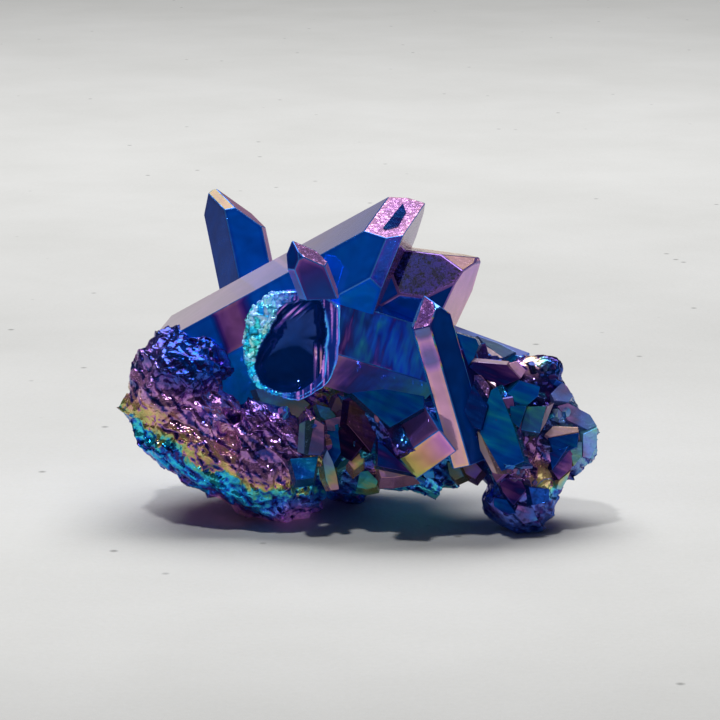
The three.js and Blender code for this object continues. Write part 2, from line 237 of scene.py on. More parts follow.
# The broken crystal in front: a long stub and the fractured end that the hollow is in.
brokenCrystal = {
    "stub": {
        "at": (15.1, 8.7, 28.2), "heading": 18, "rise": -20, "turn": -104, "hollowed": True,
        "sides": (9.6, 9.8, 9.2, 8, 8, 8.2), "back": 36, "front": -3,
        "breaks": [((-10.3, -2.6, 42.3), (-0.07, 0.11, 0.99)), ((-4.2, -9, 36.1), (-0.32, -0.91, 0.27))],
        "film": {
            "m0": face(0.03, 0.22, 0.035, 0.0, 0.82, 0.9), "m1": face(-0.52, 0.44, 0.12, 0.0, 1.1, 0.25),
            "m5": face(0.10, shade=0.7), "b0": face(0.08, -0.04, 0.2, 0.3), "b1": face(0.10, 0.30, 0.2, 0.3),
            "sides": face(0.1, shade=0.6), "front": face(0.05),
        },
    },
    "end": {
        "at": (-12.5, -6.6, 33.9), "heading": -109, "rise": 16, "turn": 117,
        "sides": (9, 9, 9, 9, 9, 9), "back": 12, "front": 0,
        "breaks": [((-10.3, -2.6, 42.3), (-0.07, 0.11, 0.99)), ((-20.7, -4.3, 34.1), (-0.99, -0.15, 0.03))],
    },
    # what the end is cut from
    "ring": {"sides": (12, 12, 12, 12, 12, 12), "back": 13, "front": 1.5, "breaks": []},
    # outlines round the middle: angle from the right, distance in mm
    "hollow": {
        "at": (-12.1, -8.3, 35.0), "deep": 5.2, "clearance": 0.6, "wobble": 0.04,
        "outline": (
            (0, 5.6), (41, 7.2), (60, 9.6), (75, 9.0), (96, 8.4), (114, 8.2), (126, 6.2), (158, 5.4),
            (188, 6.8), (213, 8.6), (232, 9.2), (256, 9.0), (276, 9.0), (292, 8.4), (311, 7.9), (333, 6.3),
        ),
        "edge": 1.035,  # how far out its smooth surface goes, 1 at the outline
        # streaks: noise scale along and across, the noise they begin at, relief in mm
        "slanting": (0.06, 1.1, 0.08, 0.25), "upright": (0.08, 2.2, 0.06, 0.15),
        # where the streaks are, 1 at the outline
        "top": 0.35, "right": 0.35, "low": -0.05, "fade": 4, "sharp": 6,
        # the hollow is darkened as painted shade, and its streaks are lit as painted highlight
        "film": 0.13, "streakFilm": 0.23, "uprightFilm": 0.12, "streakPearl": 0.25,
        "shade": 0.25, "streakShade": 2.2,
    },
    "rim": {
        "voxel": 0.24, "through": 30, "wobble": 0.04,
        "crust": 1.2, "crustNoise": ((0.8, 0.7), (2.0, 0.6)), "proud": 0.25, "flakeProud": 0.3,  # mm
        "leftFade": 0.6,  # how fast the crust ends towards the right
        # the flakes are lit as painted highlight, the upper ones with a painted white sheen; their gaps are
        # painted shade
        "flakes": 0.75, "ragged": (0.7, 0.6), "gaps": 4, "gapShade": 0.12,
        "draw": (9.1, 5.3),  # how the brightness and the film of each flake are drawn
        "raisedAbove": 0.4, "raise": 0.8, "flakeSheen": 0.8, "sheenAbove": 0.5, "sheenUp": 0.05, "flakeEtch": 0.3,
        "flakeFilm": (0.31, 0.15), "flakeShade": (1.4, 3.8),  # least, and what the flake adds
        "brightEdges": (0.1, 0.92), "edgeFade": 7,  # lines of painted highlight: 0 at the hollow, 1 at the outside
        # upright bars on the right, lit as painted highlight
        "barScale": (2.1, 0.3, 0.07), "barBegin": 0.06, "barSharp": 5, "barEtch": 0.05,
        "barFilm": (0.06, -0.16, 0.28), "barPearl": 0.3, "barShade": (0.9, 2.6),
        "outline": (
            (0, 8.2), (24, 9.2), (41, 11.2), (57, 10.4), (75, 9.7), (96, 9.2), (114, 9.4), (135, 9.2),
            (156, 9.4), (180, 8.9), (208, 10.1), (228, 10.4), (253, 9.8), (275, 9.8), (294, 9.0),
            (313, 8.9), (340, 8.3),
        ),
    },
}

growing = {
    "block": 0.16,  # side of the raw block, m
    "bevel": 0.16,  # mm, unless the crystal has its own
    "wornAndShaded": 18,  # degrees, edges sharper than this are bevelled
    "rings": (0.25 * mm, 0.8 * mm),  # cuts that follow each edge, for the rim colours
    "slices": 2.0 * mm,  # cuts across the growth axis
    "flat": 2e-6, "facing": 0.995,  # how far a polygon may be off its face, m, and how well it has to face
    "edge": face(0.30, pearlSheen=0.04, shade=0.55),
    "rimFilm": -0.10, "rimEtch": 0.1, "rimShade": 0.25,  # what changes towards an edge; the added brightness is a painted highlight along it
    "rimFade": 1.5, "sharpest": 0.05,  # how fast it fades inwards, and the least slope between two faces
    "bandFade": 4,  # how sharp the ends of a band are
    "inside": 0.05,  # mm, kept clear inside the solid's box
    "weld": 0.0001,  # m, corners nearer than this to a trimming plane are set on it
}

studio = {
    "target": (0.2, -8.2, 30.4),  # mm, the point the camera looks at
    "distance": 0.6,  # m
    "elevation": 12,  # degrees
    "lens": 161.3, "nearest": 0.01,
    "worldLight": 0.038,
    "lights": {  # place, aimed at, size in metres, watts
        "overhead": ((0.0, 0.42, 1.15), (0, 0.2, 0), (1.4, 0.8), 18.0),
        "spark": ((-0.2, -0.35, 0.9), (0, 0, 0.03), (0.07, 0.07), 3.0),
    },
}


def setMode(name):
    bpy.ops.object.mode_set(mode=name)


def deselectAll():
    if bpy.context.mode != "OBJECT":
        setMode("OBJECT")
    bpy.ops.object.select_all(action="DESELECT")


def pick(piece):
    deselectAll()
    piece.select_set(True)
    bpy.context.view_layer.objects.active = piece


def applyAll(piece):
    pick(piece)
    for modifier in list(piece.modifiers):
        bpy.ops.object.modifier_apply(modifier=modifier.name)


def newPiece(name, mesh):
    piece = bpy.data.objects.new(name, mesh.copy())
    bpy.context.scene.collection.objects.link(piece)
    return piece


def joinPieces(name, pieces):
    pick(pieces[0])
    for piece in pieces:
        piece.select_set(True)
    bpy.ops.object.join()
    joined = bpy.context.object
    joined.name = name
    return joined


def remeshFinely(piece, voxel):
    remesh = piece.modifiers.new("remesh", "REMESH")
    remesh.mode = "VOXEL"
    remesh.voxel_size = voxel * mm
    applyAll(piece)


def leaning(right, up):
    return Matrix.Rotation(math.radians(right), 3, "Z") @ Matrix.Rotation(math.radians(-up), 3, "X")


def clamped(value):
    return min(1.0, max(0.0, value))


def fromGrowth(point):
    # a point of the crystal tables, in metres and in the frame of the cluster
    return (Vector(point) - growthOrigin) * mm


def growthPlace(crystal):
    # growth frame of one crystal: +Z along its axis, +X out of its first side
    heading = Matrix.Rotation(math.radians(crystal["heading"]), 4, "Z")
    tilt = Matrix.Rotation(math.radians(90 - crystal["rise"]), 4, "Y")
    turn = Matrix.Rotation(math.radians(crystal["turn"]), 4, "Z")
    return Matrix.Translation(fromGrowth(crystal["at"])) @ heading @ tilt @ turn


def growthPlanes(crystal, chipped=True):
    # name -> (unit normal, distance from the growth point), both in the crystal's own frame
    planes = {}
    turns = [Matrix.Rotation(math.radians(60 * k), 3, "Z") for k in range(6)]
    for k, side in enumerate(crystal["sides"]):
        planes[f"m{k}"] = (turns[k] @ Vector((1, 0, 0)), side * mm)
    slant = Vector((math.sin(rhombTilt), 0, math.cos(rhombTilt)))
    for k, ahead in crystal.get("tips", {}).items():
        planes[f"t{k}"] = (turns[k] @ slant, ahead * mm * math.cos(rhombTilt))
    if "front" in crystal:
        planes["front"] = (Vector((0, 0, 1)), crystal["front"] * mm)
    planes["back"] = (Vector((0, 0, -1)), crystal["back"] * mm)
    inward = growthPlace(crystal).inverted()
    breaks = crystal.get("breaks", []) + (crystal.get("chips", []) if chipped else [])
    for k, (through, facing) in enumerate(breaks):
        normal = (inward.to_3x3() @ Vector(facing)).normalized()
        point = inward @ fromGrowth(through)
        planes[f"b{k}"] = (normal, normal.dot(point))
    return planes


def cutPlane(normal, distance, keepBehind, threshold=1e-7):
    # cuts the piece in edit mode, and clears and closes what is in front of the plane if asked
    bpy.ops.mesh.select_all(action="SELECT")
    bpy.ops.mesh.bisect(
        plane_co=normal * distance, plane_no=normal,
        use_fill=keepBehind, clear_outer=keepBehind, threshold=threshold,
    )


def cutBlock(name, size, planes):
    # a block cut down to planes, each a normal and a distance
    deselectAll()
    bpy.ops.mesh.primitive_cube_add(size=size, location=(0, 0, 0))
    piece = bpy.context.object
    piece.name = name
    setMode("EDIT")
    for normal, distance in planes:
        cutPlane(normal, distance, True)
    setMode("OBJECT")
    return piece


def blankCrystal(name, crystal, spare=0.0):
    # spare moves every face outwards
    planes = growthPlanes(crystal, spare == 0).values()
    return cutBlock(name, growing["block"], [(normal, distance + spare) for normal, distance in planes])


def ringCuts(crystal):
    # cuts just inside every face, and across the axis, so that the coating can change there
    planes = growthPlanes(crystal)
    setMode("EDIT")
    for depth in growing["rings"]:
        for normal, distance in planes.values():
            cutPlane(normal, distance - depth, False)
    low = -crystal["back"] * mm
    high = max([crystal.get("front", 0), *crystal.get("tips", {}).values()]) * mm
    for k in range(1, int((high - low) / growing["slices"])):
        cutPlane(Vector((0, 0, 1)), low + k * growing["slices"], False)
    setMode("OBJECT")


def blankCoating(places):
    return np.zeros((len(places), 4), np.float32), np.ones(len(places), np.float32)


def writeCoating(mesh, domain, values, shades, grown=None):
    # values: film, painted sheen, etch and stripes; shades: brightness, partly painted light and shade;
    # grown: place in the growth frame, mm
    coating = mesh.color_attributes.new("coating", "FLOAT_COLOR", domain)
    coating.data.foreach_set("color", values.astype(np.float32).ravel())
    shade = mesh.attributes.new("shade", "FLOAT", domain)
    shade.data.foreach_set("value", shades.astype(np.float32))
    if grown is not None:
        own = mesh.attributes.new("grown", "FLOAT_VECTOR", domain)
        own.data.foreach_set("vector", grown.astype(np.float32).ravel())


def faceLook(film, key):
    if key == "edge":
        return film.get("edge") or growing["edge"]
    family = {"m": "sides", "t": "tips"}.get(key[0], "front")
    return film.get(key) or film.get(family) or film.get("sides") or face(0.14)


def coatCrystal(piece, crystal):
    # writes the coating of every face corner, in the crystal's own frame
    mesh = piece.data
    planes = growthPlanes(crystal)
    keys = list(planes)
    normals = np.array([planes[k][0] for k in keys])
    depths = np.array([planes[k][1] for k in keys])
    points = np.array([v.co for v in mesh.vertices]).reshape(-1, 3)
    outside = points @ normals.T - depths  # zero on a face, negative inside
    low, high = points[:, 2].min(), points[:, 2].max()
    values, shades = blankCoating(mesh.loops)
    for polygon in mesh.polygons:
        corners = list(polygon.loop_indices)
        verts = [mesh.loops[c].vertex_index for c in corners]
        match = normals @ np.array(polygon.normal)
        match[np.abs(outside[verts]).max(axis=0) > growing["flat"]] = -1
        k = int(match.argmax())
        onFace = match[k] > growing["facing"]
        look = faceLook(crystal["film"], keys[k] if onFace else "edge")
        for corner, vert in zip(corners, verts):
            t = (points[vert][2] - low) / (high - low)
            film = look[0] + (look[1] - look[0]) * t
            rim = 1.0
            if onFace:
                slope = np.sqrt(np.clip(1 - (normals @ normals[k]) ** 2, growing["sharpest"], 1))
                toEdge = -outside[vert] / slope
                toEdge[k] = 1
                rim = max(0.0, 1 - toEdge.min() / growing["rings"][1]) ** growing["rimFade"]
            pearlSheen = look[2] * (1 - crystal.get("fades", {}).get(keys[k], 0) * t)
            etch = look[3] + growing["rimEtch"] * rim
            shade = look[4] * (1 + growing["rimShade"] * rim)
            for at, half, bandFilm, bandShade in crystal.get("bands", {}).get(keys[k], ()):
                share = max(0.0, 1 - (abs(points[vert][2] / mm - at) / half) ** growing["bandFade"])
                film, shade = film + (bandFilm - film) * share, shade + (bandShade - shade) * share
            values[corner] = (film + growing["rimFilm"] * rim, pearlSheen, etch, look[5])
            shades[corner] = shade
    owners = [loop.vertex_index for loop in mesh.loops]
    writeCoating(mesh, "CORNER", values, shades, points[owners] / mm)


def setInPlace(piece, crystal):
    piece.matrix_world = growthPlace(crystal)
    pick(piece)
    bpy.ops.object.transform_apply(location=True, rotation=True, scale=True)


def bevelEdges(piece, width):
    bevel = piece.modifiers.new("worn edges", "BEVEL")
    bevel.width = width
    bevel.segments = 2
    bevel.limit_method = "ANGLE"
    bevel.angle_limit = math.radians(growing["wornAndShaded"])
    applyAll(piece)


def trimBelowGround(piece):
    pick(piece)
    setMode("EDIT")
    cutPlane(Vector((0, 0, -1)), 0, True, growing["weld"])
    setMode("OBJECT")


def trimToSolid(piece):
    # nothing stands out in front of, behind or beside the solid part
    pick(piece)
    setMode("EDIT")
    for axis in range(2):
        for corner, outward in zip(cadBox, (-1, 1)):
            facing = Vector((0, 0, 0))
            facing[axis] = outward
            cutPlane(facing, corner[axis] * outward - growing["inside"] * mm, True, growing["weld"])
    setMode("OBJECT")


def growCrystal(name, crystal):
    piece = blankCrystal(name, crystal)
    bevelEdges(piece, crystal.get("bevel", growing["bevel"]) * mm)
    ringCuts(crystal)
    coatCrystal(piece, crystal)
    setInPlace(piece, crystal)
    if crystal.get("hollowed"):
        cutWith(piece, hollowTool(brokenCrystal["hollow"]["clearance"]), "DIFFERENCE")
    return piece


def hollowTool(spare):
    # the rounded scoop that broke out of the crystal's end
    scoop = brokenCrystal["hollow"]
    deselectAll()
    bpy.ops.mesh.primitive_ico_sphere_add(subdivisions=6, radius=1)
    tool = bpy.context.object
    centre = fromGrowth(scoop["at"])
    for vertex in tool.data.vertices:
        ray = vertex.co.copy()
        wide = outlineAt(scoop["outline"], ray) * (1 + scoop["wobble"] * noise.noise(ray * 1.4)) + spare
        vertex.co = centre + Vector((ray.x * wide, ray.y * (scoop["deep"] + spare), ray.z * wide)) * mm
    return tool


def outlineAt(outline, ray):
    # how far an outline is from its middle, in the direction of ray seen from the front
    turns, reach = zip(*outline)
    return float(np.interp(math.degrees(math.atan2(ray.z, ray.x)), turns, reach, period=360))


def cutWith(piece, tool, operation, solver="EXACT"):
    cut = piece.modifiers.new("cut", "BOOLEAN")
    cut.operation = operation
    cut.solver = solver
    cut.object = tool
    applyAll(piece)
    bpy.data.objects.remove(tool)


def growHollowEnd():
    # the fractured end: a worn ring, crusted on its left, round a smooth hollow
    rim = brokenCrystal["rim"]
    crystal = {**brokenCrystal["end"], **brokenCrystal["ring"]}
    piece = blankCrystal("hollow_end", crystal)
    setInPlace(piece, crystal)
    centre = fromGrowth(brokenCrystal["hollow"]["at"])
    deselectAll()
    bpy.ops.mesh.primitive_cylinder_add(vertices=72, radius=1, depth=2, end_fill_type="TRIFAN")
    tool = bpy.context.object
    for vertex in tool.data.vertices:
        ray = Vector((vertex.co.x, 0, vertex.co.y))
        wide = outlineAt(rim["outline"], ray) * (1 + rim["wobble"] * noise.noise(ray * 5))
        vertex.co = centre + Vector((ray.x * wide, vertex.co.z * rim["through"], ray.z * wide)) * mm
    tool.data.update()
    recalculateNormals(tool)
    cutWith(piece, tool, "INTERSECT")
    cutWith(piece, hollowTool(0), "DIFFERENCE")
    remeshFinely(piece, rim["voxel"])
    coatHollowEnd(piece, centre)
    pick(piece)
    bpy.ops.object.shade_smooth()
    return piece


def coatHollowEnd(piece, centre):
    # moves the surface out by its relief, and coats it
    scoop = brokenCrystal["hollow"]
    mesh = piece.data
    values, shades = blankCoating(mesh.vertices)
    moved = []
    surface = [(vertex.co.copy(), vertex.normal.copy()) for vertex in mesh.vertices]
    for i, (point, normal) in enumerate(surface):
        away = (point - centre) / mm
        wide = outlineAt(scoop["outline"], away)
        unit = Vector((away.x / wide, away.y / scoop["deep"], away.z / wide))
        if unit.length < scoop["edge"]:
            lift, look = smoothHollow(point / mm, unit)
        else:
            lift, look = crustedRim(point / mm, away, unit, wide)
        values[i, :3], shades[i] = look[:3], look[3]
        moved.extend(point + normal * (lift * mm))
    mesh.vertices.foreach_set("co", moved)
    mesh.update()
    writeCoating(mesh, "POINT", values, shades)


def smoothHollow(q, unit):
    # relief in mm, then film, pearl, etch and brightness: slanting streaks at the top left and a few
    # upright ones at the lower right, lit as painted highlight over a hollow darkened as painted shade
    scoop = brokenCrystal["hollow"]
    fade, sharp = scoop["fade"], scoop["sharp"]
    along, across, begin, relief = scoop["slanting"]
    slanting = noise.noise(Vector(((q.x + q.z) * along, 2.0, (q.x - q.z) * across)))
    top = clamped((unit.z - scoop["top"]) * fade) * clamped((scoop["right"] - unit.x) * fade)
    paintedGlow, lift = clamped((slanting - begin) * sharp) * top, relief * slanting * top
    along, across, begin, relief = scoop["upright"]
    upright = noise.noise(Vector((q.x * across, 5.0, q.z * along)))
    low = clamped((unit.x - scoop["right"]) * fade) * clamped((scoop["low"] - unit.z) * fade)
    paintedGlow, lift = paintedGlow + clamped((upright - begin) * sharp) * low, lift + relief * upright * low
    film = scoop["film"] - (scoop["streakFilm"] + scoop["uprightFilm"] * low) * paintedGlow
    return lift, (film, scoop["streakPearl"] * paintedGlow, 0.0, scoop["shade"] + scoop["streakShade"] * paintedGlow)


def crustedRim(q, away, unit, wide):
    # the same for the rim. Left: broken flakes lit as painted highlight, the upper ones with a painted white
    # sheen, and dark gaps as painted shade; right: purple with upright streaks and edges lit as painted
    # highlight
    rim = brokenCrystal["rim"]
    leftward = max(0.0, -math.cos(math.atan2(unit.z, unit.x))) ** rim["leftFade"]
    across = (math.hypot(away.x, away.z) - wide) / (outlineAt(rim["outline"], away) - wide)
    crusty = sum(noise.noise(q * scale) * height for scale, height in rim["crustNoise"])
    scale, push = rim["ragged"]
    near, flakes = noise.voronoi(q * rim["flakes"] + noise.noise_vector(q * scale) * push)
    tone = abs(noise.cell(flakes[0] * rim["draw"][0]))
    other = abs(noise.cell(flakes[0] * rim["draw"][1] + Vector((3, 3, 3))))
    gap = clamped((near[1] - near[0]) * rim["gaps"])
    streaks = noise.noise(Vector([part * scale for part, scale in zip(q, rim["barScale"])]))
    streak = clamped((streaks - rim["barBegin"]) * rim["barSharp"])
    bright = max(0.0, *(1 - abs(across - edge) * rim["edgeFade"] for edge in rim["brightEdges"]))
    lift = min(rim["proud"], crusty * leftward * rim["crust"])
    lift += min(rim["flakeProud"], (tone - rim["raisedAbove"]) * rim["raise"] * gap) * leftward
    flakeSheen = rim["flakeSheen"] * gap if tone + rim["sheenUp"] * away.z > rim["sheenAbove"] else 0.0
    (film, more), (shade, bolder) = rim["flakeFilm"], rim["flakeShade"]
    flake = (film + more * other, flakeSheen, rim["flakeEtch"], (shade + bolder * tone) * gap + rim["gapShade"])
    (film, less, more), (shade, bolder) = rim["barFilm"], rim["barShade"]
    lit = max(streak, bright)
    film = film + less * streak + more * bright
    bar = (film, rim["barPearl"] * lit, rim["barEtch"], shade + bolder * lit)
    return lift, [a * leftward + b * (1 - leftward) for a, b in zip(flake, bar)]


def recalculateNormals(piece):
    pick(piece)
    setMode("EDIT")
    bpy.ops.mesh.select_all(action="SELECT")
    bpy.ops.mesh.normals_make_consistent(inside=False)
    setMode("OBJECT")


# The rough root: how it is broken up, and its coating by height over the underside (mm, film).
roughRoot = {
    "voxel": 0.30, "clearance": 0.03,  # mm
    "parts": {"left": (-60, -13.5), "middle": (-14.5, 12.5), "right": (11.5, 60)},  # x from, to in mm
    "warp": ((0.11, 3.2), (0.42, 0.9)),  # noise scale per mm, and how far it pushes the ridges, mm
    "ridgeAcross": (0.60, 0.25, 0.76), "ridgePitch": 2.9, "ridgeHeight": 0.85,
    "ridgeFall": 1.5, "ridgeDepth": (0.55, 0.9, 0.16),  # least, what noise adds to it, and that noise's scale
    "tearHeight": 0.55, "tearScale": 0.42, "tearNoise": (0.8, 2.2, 3, 0.9, 1.6), "tearLevel": (0.4, 0.9),
    "grainHeight": 0.07, "grain": ((2.6, 1.0), (5.1, 0.6)),
    "proud": 0.25,  # mm, the most it stands out
    "footLevel": 0.6, "footRelief": 0.3,  # mm from the ground, and the share of the relief left there
    "height": (0, 1.5, 3.0, 6.2, 7.6, 10.0, 14, 18, 22, 30),
    "film": (-0.16, 0.02, 0.32, 0.38, 0.53, 0.60, 0.80, 0.86, 0.97, 1.10),
    "shade": (0.9, 0.9, 1.0, 1.0, 0.8, 0.8, 0.8, 0.9, 0.8, 0.7),
    "pearlSheen": (0.1, 0.0, 0.0, 0.0, 0.05, 0.1, 0.15, 0.15, 0.1, 0.05),
    "mottle": {"wide": (0.16, 2.8), "middling": (0.5, 2.2), "small": (1.4, 0.9)},  # noise scale, mm of height
    "middle": {"from": -12, "over": 14, "film": 0.10, "shade": 0.5, "pearlSheen": 0.15, "drift": 0.4},
    "driftScale": 0.22, "fineDrift": 0.05,
    "climb": 0.5, "climbFrom": -17,  # how fast the bands climb to the left, and from which x
    # painted shade: the hollows below darkBelow darken towards darkShade, with a film of their own
    "darkBelow": -0.75, "darkFade": 0.5, "darkMottle": 1.2, "darkStreaks": 2.6,
    "darkFilm": 0.04, "darkDrift": 0.08, "darkShade": 0.42, "etch": 0.3,
    "streakScale": (0.22, 0.3, 0.95), "streakWarp": (0.5, 0.8),  # noise scale, and how far it pushes
    "patches": [  # x, z, radius, film, brightness, pearl
        (33, 27, 5, 0.02, 0.4, 0.0), (41.5, 17, 6, 0.34, 0.9, 0.35), (31, 15, 5, 0.88, 0.6, 0.1),
        (30, 5, 6, 0.10, 1.1, 0.15), (8.6, 6.5, 7, 0.37, 1.7, 0.1), (16, 6, 4, 0.45, 1.6, 0.1),
        (-30.5, 33, 7, 0.10, 0.7, 0.0), (-17, 16, 6, -0.10, 0.6, 0.1),
        # the patch at (-12, 1.5) lights an underside at the lower left as painted light
        (-14, 5.5, 4, 0.36, 1.0, 0.0), (-12, 1.5, 5, -0.12, 4.5, 0.4),
        # painted highlights: a glint on the top rim at the right and sparkles on a ridge lower down
        (32, 31, 2.4, 0.60, 1.5, 0.5), (34, 11, 3.5, 0.62, 1.5, 0.2),
    ],
    "patchBack": 12,  # mm, patches end at this y
}


def rockHeight(q):
    # height in mm of the broken surface at q; ridges fall to the right
    warped = q
    for scale, push in roughRoot["warp"]:
        warped = warped + noise.noise_vector(q * scale) * push
    across = sum(part * share for part, share in zip(warped, roughRoot["ridgeAcross"]))
    across = across / roughRoot["ridgePitch"]
    step = across - math.floor(across)
    least, more, scale = roughRoot["ridgeDepth"]
    ridge = -(1 - step) ** roughRoot["ridgeFall"] * (least + more * noise.noise(q * scale))
    share, level = roughRoot["tearLevel"]
    torn = noise.ridged_multi_fractal(warped * roughRoot["tearScale"], *roughRoot["tearNoise"])
    tear = torn * share - level
    grain = sum(share * noise.noise(q * scale) for scale, share in roughRoot["grain"])
    height = ridge * roughRoot["ridgeHeight"] + tear * roughRoot["tearHeight"]
    return height + grain * roughRoot["grainHeight"]


def growRoot():
    # the solid part, less the crystals, rebuilt finely and broken up
    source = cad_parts["quartz_cluster"]
    root = newPiece("rough_root", source.data)
    pick(root)
    setMode("EDIT")
    bpy.ops.mesh.select_all(action="SELECT")
    bpy.ops.mesh.remove_doubles(threshold=1e-6)
    setMode("OBJECT")
    root.data.materials.clear()
    for crystal in [*crystals.values(), brokenCrystal["stub"], brokenCrystal["end"]]:
        tool = blankCrystal("tool", crystal, roughRoot["clearance"] * mm)
        setInPlace(tool, crystal)
        cutWith(root, tool, "DIFFERENCE", "MANIFOLD")
    parts = []
    for name, (low, high) in roughRoot["parts"].items():
        part = newPiece("rough_root_" + name, root.data)
        pick(part)
        setMode("EDIT")
        cutPlane(Vector((-1, 0, 0)), -low * mm, True)
        cutPlane(Vector((1, 0, 0)), high * mm, True)
        setMode("OBJECT")
        remeshFinely(part, roughRoot["voxel"])
        part = largestShell(part)
        height = breakUp(part)
        coatRoot(part, height)
        pick(part)
        bpy.ops.object.shade_smooth()
        parts.append(part)
        print("rough root", name, len(part.data.polygons), "faces")
    bpy.data.objects.remove(root)
    return parts


def largestShell(piece):
    # drops the specks that the cuts leave loose
    name = piece.name
    pick(piece)
    bpy.ops.mesh.separate(type="LOOSE")
    shells = sorted(bpy.context.selected_objects, key=lambda shell: len(shell.data.polygons))
    for speck in shells[:-1]:
        bpy.data.objects.remove(speck)
    shells[-1].name = name
    return shells[-1]


def breakUp(part):
    # moves the surface in and out, and returns how far each point went
    count = len(part.data.vertices)
    points, normals = np.empty(count * 3), np.empty(count * 3)
    part.data.vertices.foreach_get("co", points)
    part.data.vertices.foreach_get("normal", normals)
    points, normals = points.reshape(-1, 3), normals.reshape(-1, 3)
    height = np.array([rockHeight(Vector(p)) for p in points / mm])
    out = np.minimum(height, roughRoot["proud"]) * mm
    low = points[:, 2] < roughRoot["footLevel"] * mm
    out = np.where(low, np.minimum(out, 0) * roughRoot["footRelief"], out)
    points += normals * out[:, None]
    points[:, 2] = np.maximum(points[:, 2], 0)
    part.data.vertices.foreach_set("co", points.ravel())
    part.data.update()
    return height


def coatRoot(root, height):
    mesh = root.data
    points = np.array([v.co for v in mesh.vertices]) / mm
    x, z = points[:, 0], points[:, 2]
    spots = [Vector(p) for p in points]
    level = z + roughRoot["climb"] * np.minimum(x - roughRoot["climbFrom"], 0)
    mottle = {}
    for name, (scale, swing) in roughRoot["mottle"].items():
        mottle[name] = np.array([noise.noise(q * scale) for q in spots])
        level = level + swing * mottle[name]
    small = mottle["small"]
    other = np.array([noise.noise(q * roughRoot["driftScale"] + Vector((5, 3, 1))) for q in spots])
    middle = roughRoot["middle"]
    share = np.clip((x - middle["from"]) / middle["over"], 0, 1)
    levels = roughRoot["height"]
    film, shade, pearlSheen = [np.interp(level, levels, roughRoot[key]) for key in ("film", "shade", "pearlSheen")]
    film = film * (1 - share) + (middle["film"] + other * middle["drift"]) * share
    shade = shade * (1 - share) + middle["shade"] * share
    pearlSheen = pearlSheen * (1 - share * (1 - middle["pearlSheen"]))
    for px, pz, radius, patchFilm, patchShade, patchPearl in roughRoot["patches"]:
        near = np.exp(-(((x - px) ** 2 + (z - pz) ** 2) / radius ** 2) ** 1.5)
        near = np.where(points[:, 1] < roughRoot["patchBack"], near, 0)
        patchFilm = patchFilm + np.round(film - patchFilm)  # the same colour, nearest way round the ring
        film, shade = film + (patchFilm - film) * near, shade + (patchShade - shade) * near
        pearlSheen = pearlSheen + (patchPearl - pearlSheen) * near
    # the hollows between the ridges are dark indigo: their own film, darkened as painted shade
    down, deep, over = roughRoot["streakScale"]
    slanted = [Vector(((q.x - q.z) * down, q.y * deep, (q.x + q.z) * over)) for q in spots]
    scale, push = roughRoot["streakWarp"]
    streak = np.array([noise.noise(s + noise.noise_vector(q * scale) * push) for s, q in zip(slanted, spots)])
    lit = (height - roughRoot["darkBelow"]) / roughRoot["darkFade"] + 0.5
    lit = np.clip(lit + small * roughRoot["darkMottle"] + streak * roughRoot["darkStreaks"], 0, 1)
    dark = np.where(film > 0.5, 1.0, 0.0) + roughRoot["darkFilm"] + roughRoot["darkDrift"] * other
    film = film * lit + dark * (1 - lit) + small * roughRoot["fineDrift"]
    shade = shade * lit + roughRoot["darkShade"] * (1 - lit)
    etch, stripes = np.full(len(points), roughRoot["etch"]), np.zeros(len(points))
    writeCoating(mesh, "POINT", np.stack([film, pearlSheen * lit, etch, stripes], 1), shade)


# Small crystals grown over the root. Each patch: seen from (turn, up) in degrees, its middle on that
# view plane and its half size in mm, how many, their radius, length, film, brightness and pearl.
druse = {
    "clear": 1.2,  # mm, kept free round the large crystals
    "onRoot": 1.2,  # mm, how near to the rough root a place has to be
    "from": ((0, 0, 30.4), 90),  # mm, the middle of the view planes, and how far off they stand
    "bevel": 0.07, "sunk": 1.4,  # mm
    "lean": 0.7, "upward": 0.25, "stretch": 1.1,
    "wornAndShaded": 0.06, "wornFilm": 0.2,  # square mm, faces smaller than this are worn edges, of a later film
    "filmSwing": (-0.1, 0.1), "shadeSwing": (0.5, 1.2), "etch": 0.1,  # how its faces differ and are etched
    "models": {
        "stout": {
            "sides": (1, 0.8, 1.1, 0.9, 1, 0.8), "tips": {0: 0.2, 1: 0.6, 2: 0.1, 3: 0.5, 4: 0.3, 5: 0.5},
        },
        "blade": {"sides": (0.5, 1.1, 1.0, 0.5, 1.1, 1.0), "tips": {0: 0.1, 1: 0.8, 2: 0.5, 3: 0.3}},
        "wedge": {"sides": (1, 1.3, 0.7, 1, 0.8, 1.2), "tips": {0: -0.5, 3: 0.8, 4: 0.6}},
    },
    "patches": {
        "right": [
            ((0, 12), (34, -8), (5, 6), 16, (0.6, 1.3), (1.4, 2.2), (-0.10, 0.24), (0.2, 0.7), 0.05),
            ((0, 12), (40, -11), (4, 5), 14, (0.6, 1.2), (1.4, 2.2), (0.10, 0.42), (0.4, 0.9), 0.35),
            ((0, 12), (25, -16), (5, 6), 12, (0.6, 1.2), (1.4, 2.2), (-0.14, 0.20), (0.2, 0.6), 0.05),
            ((0, 12), (30, -24), (2.5, 4), 10, (0.6, 1.2), (1.2, 1.8), (-0.14, 0.16), (0.2, 0.5), 0.1),
        ],
        "centre": [
            ((0, 12), (-3, -16), (7, 5), 20, (0.6, 1.3), (1.4, 2.4), (-0.25, 0.30), (0.2, 0.6), 0.05),
            ((0, 12), (6, -22), (8, 2), 10, (0.8, 1.4), (1.2, 1.9), (0.26, 0.50), (0.3, 0.7), 0.05),
            ((0, 12), (-14, -10), (4, 3), 8, (0.8, 1.6), (1.4, 2.6), (-0.14, 0.20), (0.4, 0.8), 0.1),
        ],
        "back": [
            ((180, 15), (10, -10), (20, 8), 30, (1.0, 2.4), (2.0, 5.0), (-0.2, 0.35), (0.4, 0.9), 0.1),
            ((120, 15), (10, -10), (14, 8), 14, (1.0, 2.2), (2.0, 4.5), (-0.2, 0.35), (0.4, 0.9), 0.1),
        ],
    },
}


